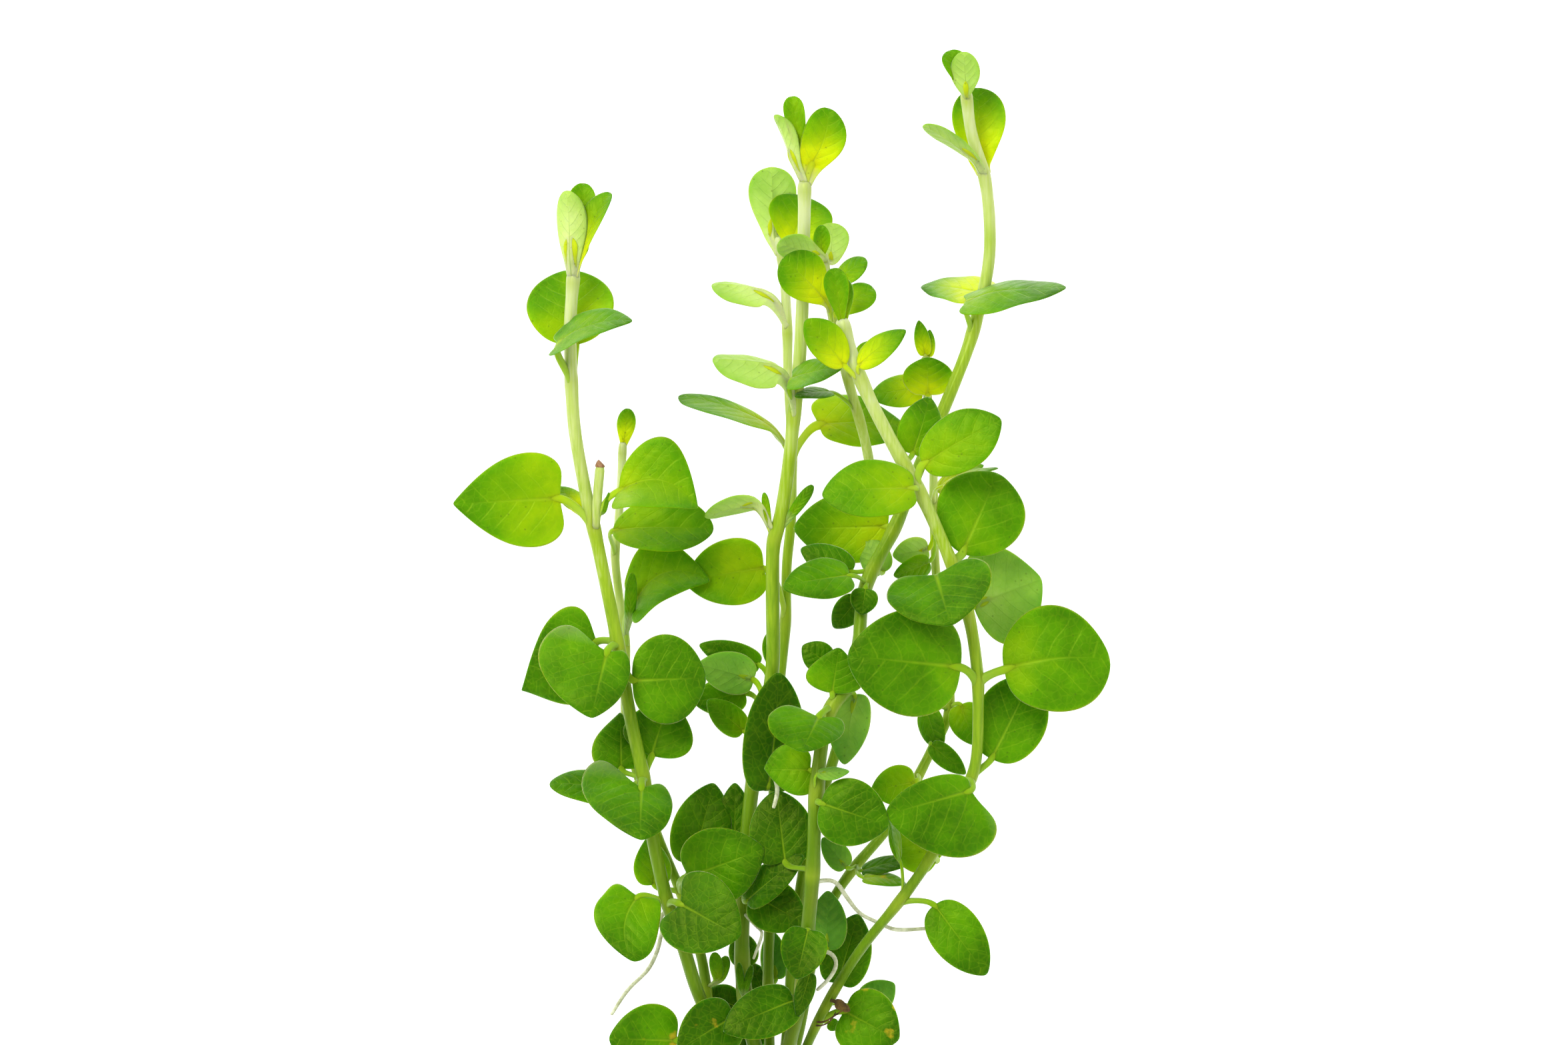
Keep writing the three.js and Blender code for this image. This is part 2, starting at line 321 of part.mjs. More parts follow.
const ROOTS = [
  { stem: 'b', radius: [0.43, 0.33], route: [[-17.4, 21.4, 16], [-20.8, 19.3, 17], [-22.2, 14.8, 18],
    [-23.5, 13.8, 18], [-24.5, 13.1, 18]] },
  { stem: 'b', radius: [0.43, 0.33], route: [[-17, 20.2, 15.8], [-20.3, 17.8, 15], [-21.5, 13.8, 14],
    [-23, 10.8, 13], [-26, 7.8, 12], [-28.5, 4, 11]] },
  { stem: 'h', radius: [0.43, 0.33], route: [[1.6, 24.6, 32.6], [5, 24.8, 31], [7, 22.3, 29],
    [9, 19.8, 27], [12, 18.3, 26], [14.5, 17.3, 25], [19.5, 17.5, 24]] },
  { stem: 'h', radius: [0.44, 0.32], route: [[0.4, 12, 28], [3.5, 14.3, 29], [5.5, 12.8, 29.5],
    [4.6, 10.4, 29], [2.5, 8.3, 28]] },
  { stem: 'c', radius: [0.34, 0.26], route: [[-8.3, 19.5, 20.5], [-6.2, 17.4, 22], [-5.6, 16.8, 22.4],
    [-7, 12.8, 22.6]] },
  { stem: 'c', radius: [0.5, 0.36], route: [[-5.4, 41.5, 22.4], [-3.8, 40.2, 26], [-3.4, 38, 28],
    [-4, 35.6, 28.6]] },
  { stem: 'e', radius: [0.42, 0.3], route: [[-2.2, 1.4, 18], [-1.8, -1.2, 20], [-2.2, -5, 21]] },
  { stem: 'c', radius: [0.4, 0.28], route: [[-0.8, 4.4, 19], [0, 4.8, 22], [-0.6, 1.2, 23],
    [-1, -3, 22.4]] },
];

// Vector helpers on plain arrays of three numbers

const add = (p, q) => p.map((value, i) => value + q[i]);
const scale = (p, k) => p.map((value) => value * k);
const subtract = (p, q) => add(p, scale(q, -1));
const dot = (p, q) => p.reduce((sum, value, i) => sum + value * q[i], 0);
const length = (p) => Math.sqrt(dot(p, p));
const unit = (p) => scale(p, 1 / length(p));
const mix = (p, q, t) => add(scale(p, 1 - t), scale(q, t));
const cross = (p, q) => [p[1] * q[2] - p[2] * q[1], p[2] * q[0] - p[0] * q[2], p[0] * q[1] - p[1] * q[0]];

// Solids

function solidFrom(points, triangles) {
  const geometry = new THREE.BufferGeometry();
  geometry.setAttribute('position', new THREE.Float32BufferAttribute(points.flat(), 3));
  geometry.setIndex(triangles.flat());
  const merged = mergeVertices(geometry, 1e-5);
  return new wasm.Manifold(new wasm.Mesh({
    numProp: 3,
    vertProperties: merged.attributes.position.array,
    triVerts: Uint32Array.from(merged.index.array),
  }));
}

// The largest of the loose parts that a cut has left
function largestOf(solid) {
  return solid.decompose().sort((p, q) => q.volume() - p.volume())[0];
}

function geometryFrom(solid) {
  const mesh = largestOf(solid.simplify(SIMPLIFY)).getMesh();
  const geometry = new THREE.BufferGeometry();
  geometry.setAttribute('position', new THREE.Float32BufferAttribute(mesh.vertProperties, 3));
  geometry.setIndex(Array.from(mesh.triVerts));
  geometry.computeVertexNormals();
  return geometry;
}

// A closed round bar through the points, with one radius per point
function bar(points, radii, sides) {
  const rings = [];
  let across = [1, 0, 0];
  points.forEach((point, i) => {
    const before = points[Math.max(i - 1, 0)];
    const after = points[Math.min(i + 1, points.length - 1)];
    const along = unit(subtract(after, before));
    across = unit(subtract(across, scale(along, dot(across, along))));
    const up = cross(along, across);
    for (let k = 0; k < sides; k += 1) {
      const angle = (2 * Math.PI * k) / sides;
      const spoke = add(scale(across, Math.cos(angle)), scale(up, Math.sin(angle)));
      rings.push(add(point, scale(spoke, radii[i])));
    }
  });
  const triangles = [];
  const last = (points.length - 1) * sides;
  for (let k = 0; k < sides; k += 1) {
    const next = (k + 1) % sides;
    for (let ring = 0; ring < last; ring += sides) {
      triangles.push([ring + k, ring + next, ring + sides + next]);
      triangles.push([ring + k, ring + sides + next, ring + sides + k]);
    }
    if (k > 1) {
      triangles.push([0, k, k - 1]);
      triangles.push([last, last + k - 1, last + k]);
    }
  }
  return solidFrom(rings, triangles);
}

// Where the blade begins, from the notch: below 0 on a blade that narrows towards its joint
function bladeStart(leaf) {
  const foot = nodeOn(leaf.stem, leaf.node).point;
  return -0.9 * (leaf.wedge ?? 0) * length(subtract(leaf.notch, foot));
}

// The place on a blade at x along its midrib from the notch and y across it
function bladePoint(leaf, x0, y) {
  const x = x0 + (leaf.skew ?? 0) * y;
  const span = subtract(leaf.tip, leaf.notch);
  const bladeLength = length(span);
  const along = unit(span);
  const lift = unit(subtract([0, 0, 1], scale(along, along[2])));
  const turn = THREE.MathUtils.degToRad(leaf.roll ?? 0);
  const normal = add(scale(lift, Math.cos(turn)), scale(cross(along, lift), Math.sin(turn)));
  const side = cross(normal, along);
  const bow = x > 0 ? 4 * (x / bladeLength) * (1 - x / bladeLength) : 0;
  const across = Math.abs((2 * y) / leaf.width);
  const bend = (leaf.cup ?? 0) * across ** 2 + (leaf.fold ?? 0) * across;
  const rise = (leaf.arch ?? 0.05) * bladeLength * bow + bend * leaf.width;
  const shift = y + (leaf.sweep ?? 0) * bladeLength * bow;
  let middle = add(leaf.notch, scale(along, x));
  if (x < 0 && leaf.wedge) {
    const foot = nodeOn(leaf.stem, leaf.node).point;
    middle = mix(leaf.notch, foot, -x / length(subtract(leaf.notch, foot)));
  }
  return { point: add(middle, add(scale(side, shift), scale(normal, rise))), normal };
}

// Half the width of the stalk where it meets the blade
function stalkRadius(leaf) {
  return (leaf.stalk ?? 1) * (0.22 + 0.03 * leaf.width);
}

// The outline of a blade at an angle round it from the tip, on its left (1) or its right (-1), as distances
// along and across the midrib
function outline(leaf, degrees, hand) {
  const bladeLength = length(subtract(leaf.tip, leaf.notch));
  const uneven = 1 + (leaf.lean ?? 0) * hand;
  const lobe = (leaf.lobe ?? LOBE) * uneven;
  const angle = THREE.MathUtils.degToRad(degrees);
  if (leaf.wedge) {
    const start = bladeStart(leaf);
    const share = (1 + Math.cos(angle)) / 2;
    const widest = 0.64 + 0.2 * (leaf.belly ?? BELLY);
    const narrow = Math.min((2.3 * stalkRadius(leaf)) / leaf.width, 0.9);
    const opening = narrow + (1 - narrow) * THREE.MathUtils.smoothstep(share, 0.02, widest);
    const closing = Math.sqrt(1 - (Math.max(share - widest, 0) / (1 - widest)) ** 2.3);
    return [start + (bladeLength - start) * share, (leaf.width / 2) * uneven * opening * closing];
  }
  const dent = lobe * Math.exp(-(((Math.PI - angle) / 0.45) ** 2));
  const tip = POINT * Math.exp(-((angle / 0.4) ** 2));
  const reach = (1 - POINT - lobe) / 2 + ((1 - POINT + lobe) / 2) * Math.cos(angle) + dent + tip;
  const half = (leaf.width / 2) * uneven * Math.sin(angle) * (1 + (leaf.belly ?? BELLY) * Math.cos(angle));
  const drawn = degrees < 90 ? Math.sin(angle) ** (leaf.pointed ?? POINTED) : 1;
  return [reach * bladeLength, half * drawn];
}

// One closed leaf: a blade with a row of points down each margin and one down the midrib, on both faces,
// that runs on from its foot into a four-sided stalk through the points given, from the blade inwards
function leafShell(leaf, stalk, extra) {
  const stations = STATIONS.find(({ width }) => leaf.width >= width).degrees;
  const bladeLength = length(subtract(leaf.tip, leaf.notch));
  const thickness = BLADE_THICKNESS + 2 * extra;
  const radius = stalkRadius(leaf) + extra;
  const start = bladeStart(leaf);
  const flat = [[bladeLength + extra, 0]];
  stations.forEach((degrees, i) => {
    const [left, leftHalf] = outline(leaf, degrees, 1);
    const [right, rightHalf] = outline(leaf, degrees, -1);
    const least = leaf.wedge ? left : (0.06 + 0.06 * (stations.length - 1 - i)) * bladeLength;
    flat.push([left, leftHalf + extra], [Math.max(left, right, least), 0], [right, -rightHalf - extra]);
  });
  flat.push([start - extra, radius], [start - extra, -radius]);
  const foot = flat.length - 2;
  const faces = [[0, 1, 2], [0, 2, 3]];
  for (let row = 1; row + 3 < foot; row += 3) {
    faces.push([row, row + 3, row + 4], [row, row + 4, row + 1]);
    faces.push([row + 1, row + 4, row + 5], [row + 1, row + 5, row + 2]);
  }
  faces.push([foot - 3, foot, foot - 2], [foot - 2, foot, foot + 1], [foot - 2, foot + 1, foot - 1]);
  const rim = [];
  for (let row = foot - 1; row > 2; row -= 3) {
    rim.unshift(row);
  }
  rim.reverse();
  rim.unshift(foot + 1);
  rim.push(0);
  for (let row = 1; row < foot; row += 3) {
    rim.push(row);
  }
  rim.push(foot);
  const upper = [];
  const lower = [];
  flat.forEach(([x, y]) => {
    const { point, normal } = bladePoint(leaf, x, y);
    upper.push(add(point, scale(normal, thickness / 2)));
    lower.push(add(point, scale(normal, -thickness / 2)));
  });
  const shift = flat.length;
  const points = [...upper, ...lower];
  const triangles = [...faces, ...faces.map(([p, q, r]) => [p + shift, r + shift, q + shift])];
  for (let i = 0; i + 1 < rim.length; i += 1) {
    const [start, end] = [rim[i], rim[i + 1]];
    triangles.push([end, start, start + shift], [end, start + shift, end + shift]);
  }
  let ring = [foot, foot + 1, foot + 1 + shift, foot + shift];
  let side = unit(subtract(upper[foot], upper[foot + 1]));
  stalk.forEach((point, i) => {
    const next = stalk[Math.min(i + 1, stalk.length - 1)];
    const before = i === 0 ? bladePoint(leaf, start, 0).point : stalk[i - 1];
    const along = unit(subtract(before, next));
    side = unit(subtract(side, scale(along, dot(side, along))));
    const up = cross(along, side);
    const corner = (a, b) => add(point, add(scale(side, a * radius), scale(up, (b * thickness) / 2)));
    const base = points.length;
    points.push(corner(1, 1), corner(-1, 1), corner(-1, -1), corner(1, -1));
    for (let k = 0; k < 4; k += 1) {
      const m = (k + 1) % 4;
      triangles.push([ring[k], base + k, base + m], [ring[k], base + m, ring[m]]);
    }
    ring = [base, base + 1, base + 2, base + 3];
  });
  triangles.push([ring[0], ring[3], ring[2]], [ring[0], ring[2], ring[1]]);
  return solidFrom(points, triangles);
}

// The point of a shoot's middle line at height y, and its upward direction there
function nodeOn(stem, y) {
  const { route } = STEMS[stem];
  const i = route.findIndex((point, k) => k > 0 && point[1] <= y);
  const [above, below] = [route[i - 1], route[i]];
  const t = (above[1] - y) / (above[1] - below[1]);
  return { point: mix(above, below, t), up: unit(subtract(above, below)) };
}

// A leaf with a stalk that bends up from its shoot
function leafSolid(leaf, extra = 0) {
  const { point: foot, up } = nodeOn(leaf.stem, leaf.node);
  const reach = length(subtract(leaf.notch, foot));
  const bend = add(mix(foot, leaf.notch, 0.5), scale(up, 0.16 * reach));
  return leafShell(leaf, leaf.wedge ? [foot] : [bend, foot], extra);
}

// A small leaf with a straight stalk
function smallLeafSolid(leaf, extra = 0) {
  return leafShell(leaf, [nodeOn(leaf.stem, leaf.node).point], extra);
}

function stemSolid({ route, radius: [top, base] }, extra = 0) {
  const radii = route.map((point, i) => top + ((base - top) * i) / (route.length - 1) + extra);
  return bar(route, radii, STEM_SIDES);
}

// A shoot without its leaves, with the roots and the stub that are fused to it
function shootSolid(name, extra = 0) {
  let solid = stemSolid(STEMS[name], extra);
  ROOTS.filter((root) => root.stem === name).forEach(({ route, radius: [thick, thin] }) => {
    const radii = route.map((point, i) => thick + ((thin - thick) * i) / (route.length - 1) + extra);
    solid = solid.add(bar(route, radii, ROOT_SIDES));
  });
  if (name === STUB.stem) {
    const top = add(STUB.top, scale(unit(subtract(STUB.top, STUB.foot)), extra));
    solid = solid.add(bar([STUB.foot, top], [STUB.radius + extra, STUB.radius + extra], STEM_SIDES));
  }
  return solid;
}

// What is left of a solid once its neighbours and a gap round them are cut away, in one piece
function clearOf(solid, neighbours) {
  let rest = solid;
  neighbours.forEach((neighbour) => {
    if (!rest.isEmpty() && !rest.intersect(neighbour).isEmpty()) {
      rest = rest.subtract(neighbour);
    }
  });
  return rest.isEmpty() ? rest : largestOf(rest);
}

// The crown: a knuckled lump of old stem that all the shoots grow from
function crownSolid(extra = 0) {
  const geometry = new THREE.SphereGeometry(1, 12, 8);
  geometry.deleteAttribute('normal');
  geometry.deleteAttribute('uv');
  geometry.scale(...CROWN.radii.map((radius) => radius + extra));
  geometry.translate(...CROWN.centre);
  const merged = mergeVertices(geometry, 1e-4);
  return new wasm.Manifold(new wasm.Mesh({
    numProp: 3,
    vertProperties: merged.attributes.position.array,
    triVerts: Uint32Array.from(merged.index.array),
  }));
}

// The plant

const group = new THREE.Group();
group.position.set(-ORIGIN[0], -ORIGIN[1], -ORIGIN[2]);

function place(name, solid, colour) {
  const material = new THREE.MeshStandardMaterial({ color: colour, roughness: 0.5, metalness: 0 });
  const mesh = new THREE.Mesh(geometryFrom(solid), material);
  mesh.name = name;
  group.add(mesh);
}

place('crown', crownSolid(), 0x8a6b3c);

// Everything is cut clear of what comes before it: the crown, then the shoots, the leaves and, last, the
// small leaves, which are then fused to their own shoot
const crownGuard = crownSolid(GAP);
const shoots = {};
const shootGuards = {};
for (const name of Object.keys(STEMS)) {
  shoots[name] = clearOf(shootSolid(name), [crownGuard, ...Object.values(shootGuards)]);
  shootGuards[name] = shootSolid(name, GAP);
}

const leafGuards = [];
for (const [name, leaf] of Object.entries(LEAVES)) {
  place(name, clearOf(leafSolid(leaf), [crownGuard, ...Object.values(shootGuards), ...leafGuards]), 0x6fa818);
  leafGuards.push(leafSolid(leaf, GAP));
}

const smallGuards = [];
for (const name of Object.keys(STEMS)) {
  const others = Object.keys(STEMS).filter((other) => other !== name).map((other) => shootGuards[other]);
  const small = SMALL_LEAVES.filter((leaf) => leaf.stem === name);
  let solid = shoots[name];
  small.forEach((leaf) => {
    solid = solid.add(clearOf(smallLeafSolid(leaf), [crownGuard, ...others, ...leafGuards, ...smallGuards]));
  });
  place(`stem_${name}`, solid, 0xb9cf6a);
  small.forEach((leaf) => smallGuards.push(smallLeafSolid(leaf, GAP)));
}

export default group;
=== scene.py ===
"""A creeping jenny plant, Lysimachia nummularia, lifted from the water and laid on a flat surface.

Eight leafy shoots rise from one rooted crown. Every leaf is a closed blade with its own stalk, and the
youngest and smallest leaves, the roots and the cut stub belong to the shoot that they grow from.
Tables and named sizes are in millimetres, in plant coordinates: x to the right, y along the shoots, z up.
"""

import logging
import math
from collections.abc import Callable, Sequence
from dataclasses import dataclass, field
from enum import Enum

import bmesh
import bpy
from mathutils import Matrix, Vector, noise


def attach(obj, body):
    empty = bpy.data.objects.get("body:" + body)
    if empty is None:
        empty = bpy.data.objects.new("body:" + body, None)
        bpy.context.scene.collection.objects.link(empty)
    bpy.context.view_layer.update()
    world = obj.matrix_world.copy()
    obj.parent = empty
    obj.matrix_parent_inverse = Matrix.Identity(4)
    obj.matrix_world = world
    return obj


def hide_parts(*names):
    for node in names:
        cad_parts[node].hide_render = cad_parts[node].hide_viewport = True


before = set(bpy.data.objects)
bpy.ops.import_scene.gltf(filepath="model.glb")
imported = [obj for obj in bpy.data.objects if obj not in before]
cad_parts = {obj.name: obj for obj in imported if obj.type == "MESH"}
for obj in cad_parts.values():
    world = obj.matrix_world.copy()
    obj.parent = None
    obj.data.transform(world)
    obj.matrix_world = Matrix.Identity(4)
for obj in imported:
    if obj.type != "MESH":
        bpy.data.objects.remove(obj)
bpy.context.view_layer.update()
LOG = logging.getLogger("creeping_jenny")

Triple = tuple[float, float, float]

ORIGIN = Vector((-2.76, 67.81, 8.52))  # plant coordinates of the part's origin
MILLIMETRE = 0.001  # in metres
SEAM = 2e-6  # metres within which the points of two edges become one
SLIVER = 1e-7  # metres below which an edge is dissolved
SIDEWAYS = Vector((1, 0, 0))
UPWARDS = Vector((0, 0, 1))

# Faces along and round each skin
BLADE_ROWS, BLADE_COLUMNS = 20, 16
SMALL_ROWS, SMALL_COLUMNS = 12, 8
STALK_ROWS, STALK_SIDES = 12, 8
STEM_SIDES, ROOT_SIDES = 12, 6
STEM_STEP, ROOT_STEP = 1.6, 0.9  # between two rings
FEWEST_RINGS = 8

# Stems and roots
STEM_FULLNESS = 1.1  # a round stem over the flat-sided solid
SWELLING = 0.16  # how much wider a stem is at a joint, as a share of its radius
SWELLING_RISE = 0.4  # from the joint up to the widest place
SWELLING_LENGTH = 1.3  # from there to where it has mostly faded
TINT_LENGTH = 1.1  # of the yellower ring at a joint
STEM_SWAY, ROOT_SWAY = 0.05, 0.16  # unevenness of the width, as a share of the radius
STEM_SWAY_PITCH, ROOT_SWAY_PITCH = 0.12, 0.6  # how fast it changes, per millimetre and per ring
RIBS, RIB_DEPTH = 4, 0.07  # lengthwise ridges, and their depth as a share of the radius
STEM_AGEING = 150.0  # distance from the tip at which a stem is oldest

# Outlines of blades
LOBE = 0.12  # depth of the notch at the foot of a blade, as a share of its length
BELLY = -0.12  # below 0 a blade is widest near its foot
POINT = 0.03  # how far the tip is drawn out, as a share of the length
LOBE_SPREAD, POINT_SPREAD = 0.45, 0.4  # how far both reach round the margin, in radians
WEDGE_REACH = 0.94  # share of the stalk that a wedge-shaped blade takes in
WEDGE_START, WEDGE_WIDEST = 0.02, 0.64  # where it widens and where it is widest, as shares of its length
WEDGE_SHIFT = 0.2  # how far the belly moves its widest place
WEDGE_FOOT = 2.3  # width of its foot over the half width of the stalk
WEDGE_FULLNESS = 2.3  # how blunt its tip is
WEDGE_ENDS = 5  # how quickly its margins meet at both ends

# Relief of blades
BLADE_HALF_THICKNESS = 0.2
TIP_CLOSING, FOOT_CLOSING = 12, 20  # parts of the length over which its faces meet at the ends
CROWDING = 1.5  # how much closer the columns of its grid lie near the midrib
CREASE = 0.01  # softness of a fold
CURL = (0.5, 1.1)  # where a tip turns up, in shares of the length
WAVES = 1.7  # ripples along a margin
LEAF_PHASE, HALF_PHASE = 0.37, 0.3  # how ripples shift from leaf to leaf and from half to half
UNEVEN = 0.035  # depth of the slow undulation of a blade, as a share of its width
LUMPS = (1.9, 0.9)  # undulations along the blade and across half of it
SMOOTH_FOOT = (-0.1, 0.25)  # where the undulation sets in, in shares of the length
GROOVE_DEPTH, GROOVE_WIDTH = 0.14, 0.4  # of the channel over the midrib
KEEL_DEPTH = 0.7  # of the keel below the midrib, over its half width
KEEL_TAPER, KEEL_END = 0.8, 0.02  # how it narrows, and its half width at the tip
TIP_RIM = (0.93, 1.0)  # where the whole tip counts as margin, in shares of the length

# Stalks, from under the blade to the joint
STALK_HALF_WIDTH, STALK_GAIN = 0.24, 0.028  # the least, and what each millimetre of the blade's width adds
STALK_RISE = 0.55  # how far a stalk keeps to its shoot before it turns out, as a share of its length
STALK_UNDER = ((0.28, 0.36), (0.12, 0.3))  # under the blade: share of the blade's length, and depth
STALK_STATIONS = (0.25, 0.5, 0.75, 1.0)  # shares of its free length
STALK_SINK = (0.1, 0.16)  # depth below a wedge-shaped blade at the notch and further down
STALK_WIDTHS, STALK_FOOT_WIDTHS = (0.3, 1.3, 1.2, 1.0, 0.95), (1.1, 1.4)
STALK_DEPTHS = (0.15, 0.4, 0.62, 0.66, 0.66, 0.72, 0.85)

# Age, from 0 to 1 on the scale of the green
OLDEST = 0.92  # of a mature leaf
MATURE = 85.0  # distance below the tip of its shoot at which a leaf is mature


class Skin(Enum):
    """The finishes of the plant, one for each kind of surface."""

    UPPER = "leaf_upper_face"
    UNDER = "leaf_underside"
    STEM = "stem_skin"
    ROOT = "root_skin"
    CUT = "dried_cut_end"
    CROWN = "crown_bark"
    HUSK = "dead_husk"


# Meshes


@dataclass
class Spot:
    """A point of a surface, in plant coordinates, with what its finish needs to know there."""

    at: Vector
    run: Triple
    age: float


class Sculpt:
    """A mesh made of closed skins, each of them a bent grid whose edges are merged."""

    def __init__(self) -> None:
        """Start an empty mesh."""
        self.mesh = bmesh.new()
        self.run = self.mesh.verts.layers.float_vector.new("run")
        self.age = self.mesh.verts.layers.float.new("age")
        self.wear = self.mesh.verts.layers.float.new("wear")
        self.skins: list[Skin] = []

    def slot(self, skin: Skin) -> int:
        """Find the material index of a finish, and add the finish where it is new.

        Args:
            skin: The finish.

        Returns:
            Its index.
        """
        if skin not in self.skins:
            self.skins.append(skin)
        return self.skins.index(skin)

    def sheet(self, rows: int, columns: int, skin: Skin, place: Callable[[float, float], Spot],
              wear: float = 0.0) -> list[bmesh.types.BMVert]:
        """Add a grid and bend it.

        Args:
            rows: Faces along the grid.
            columns: Faces across it.
            skin: Its finish.
            place: Says where the point (u, v) of the grid goes, both from 0 to 1.
            wear: How damaged the surface is, from 0 to 1.

        Returns:
            The points of the sheet.
        """
        made = bmesh.ops.create_grid(self.mesh, x_segments=rows, y_segments=columns, size=0.5)["verts"]
        index = self.slot(skin)
        for face in {face for point in made for face in point.link_faces}:
            face.material_index = index
            face.smooth = True
        for point in made:
            spot = place(point.co.x + 0.5, point.co.y + 0.5)
            point.co = (spot.at - ORIGIN) * MILLIMETRE
            point[self.run] = spot.run
            point[self.age] = spot.age
            point[self.wear] = wear
        return made

    def close(self, sheets: list[list[bmesh.types.BMVert]]) -> None:
        """Merge the edges of sheets that together make a closed skin, and turn its faces outwards.

        Args:
            sheets: The points of each sheet.
        """
        points = [point for sheet in sheets for point in sheet]
        bmesh.ops.remove_doubles(self.mesh, verts=points, dist=SEAM)
        faces = {face for point in points if point.is_valid for face in point.link_faces}
        edges = {edge for face in faces for edge in face.edges}
        bmesh.ops.dissolve_degenerate(self.mesh, dist=SLIVER, edges=list(edges))
        faces = {face for point in points if point.is_valid for face in point.link_faces}
        bmesh.ops.recalc_face_normals(self.mesh, faces=list(faces))

    def tube(self, route: list[Vector], widths: list[float], depths: list[float], side: Vector, skin: Skin,
             run: Callable[[float, float], tuple[Triple, float]], sides: int, rows: int,
             ribs: float = 0.0) -> None:
        """Add a closed tube with an oval section.

        Args:
            route: The points of its middle line.
            widths: Its half width at each of them, along the side direction.
            depths: Its half thickness at each of them.
            side: A direction across the tube at its start.
            skin: Its finish.
            run: Gives the finish data at a share of the length and of the turn round it.
            sides: Faces round it.
            rows: Faces along it.
            ribs: Depth of its lengthwise ridges, as a share of the radius.
        """
        line = Line(route, side)

        def place(u: float, v: float) -> Spot:
            """Roll the grid round the line, with its first and last row drawn to a point."""
            step = u * rows
            share = min(max((step - 1) / (rows - 2), 0.0), 1.0)
            shut = 0.0 if step < 0.5 or step > rows - 0.5 else 1.0
            at, across, up = line.at(share)
            turn = 2 * math.pi * v
            swell = shut * (1 + ribs * math.cos(RIBS * turn))
            width, depth = blend_list(widths, share) * swell, blend_list(depths, share) * swell
            lay, age = run(share, v)
            return Spot(at + across * (width * math.cos(turn)) + up * (depth * math.sin(turn)), lay, age)

        self.close([self.sheet(rows, sides, skin, place)])

    def finish(self, name: str, finishes: dict[Skin, bpy.types.Material]) -> bpy.types.Object:
        """Turn the mesh into an object with its materials and one level of subdivision.

        Args:
            name: The object's name.
            finishes: The material of each finish.

        Returns:
            The object, with its place in its mesh.
        """
        data = bpy.data.meshes.new(name)
        self.mesh.to_mesh(data)
        self.mesh.free()
        for skin in self.skins:
            data.materials.append(finishes[skin])
        piece = bpy.data.objects.new(name, data)
        bpy.context.scene.collection.objects.link(piece)
        smoother = piece.modifiers.new("smooth", "SUBSURF")
        smoother.levels = smoother.render_levels = 1
        return piece


def blend_list(values: list[float], share: float) -> float:
    """Find the value at a place between evenly spaced values.

    Args:
        values: The values.
        share: The place, from 0 at the first to 1 at the last.

    Returns:
        The value there.
    """
    place = share * (len(values) - 1)
    first = min(int(place), len(values) - 2)
    return values[first] + (values[first + 1] - values[first]) * (place - first)


def ease(low: float, high: float, value: float) -> float:
    """Return 0 below low, 1 above high and a smooth rise between them."""
    share = min(max((value - low) / (high - low), 0.0), 1.0)
    return share * share * (3 - 2 * share)


class Line:
    """A smooth line through points, with a direction across it that doesn't twist."""

    def __init__(self, route: list[Vector], side: Vector, steps: int = 6) -> None:
        """Sample a Catmull-Rom curve through the points.

        Args:
            route: The points.
            side: A direction across the line at its start.
            steps: Samples between two points.
        """
        ends = [route[0] * 2 - route[1], *route, route[-1] * 2 - route[-2]]
        self.points: list[Vector] = []
        for first, second, third, fourth in zip(ends, ends[1:], ends[2:], ends[3:]):
            for step in range(steps):
                t = step / steps
                self.points.append(0.5 * (second * 2 + (third - first) * t
                                          + (first * 2 - second * 5 + third * 4 - fourth) * t * t
                                          + (second * 3 - first - third * 3 + fourth) * t ** 3))
        self.points.append(route[-1].copy())
        self.lengths = [0.0]
        for start, end in zip(self.points, self.points[1:]):
            self.lengths.append(self.lengths[-1] + (end - start).length)
        self.sides: list[Vector] = []
        for i in range(len(self.points)):
            along = self.along(i)
            side = (side - along * side.dot(along)).normalized()
            self.sides.append(side)

    def along(self, i: int) -> Vector:
        """Return the direction of the line at one of its samples."""
        return (self.points[min(i + 1, len(self.points) - 1)] - self.points[max(i - 1, 0)]).normalized()

    def at(self, share: float) -> tuple[Vector, Vector, Vector]:
        """Find a place on the line.

        Args:
            share: How far along it is, from 0 to 1.

        Returns:
            The place, the direction across the line and the one square to both.
        """
        wanted = share * self.lengths[-1]
        i = 0
        while i < len(self.lengths) - 2 and self.lengths[i + 1] < wanted:
            i += 1
        gap = self.lengths[i + 1] - self.lengths[i]
        t = (wanted - self.lengths[i]) / gap if gap else 0.0
        along = self.along(i).lerp(self.along(i + 1), t).normalized()
        side = self.sides[i].lerp(self.sides[i + 1], t)
        side = (side - along * side.dot(along)).normalized()
        return self.points[i].lerp(self.points[i + 1], t), side, along.cross(side)


# Shoots


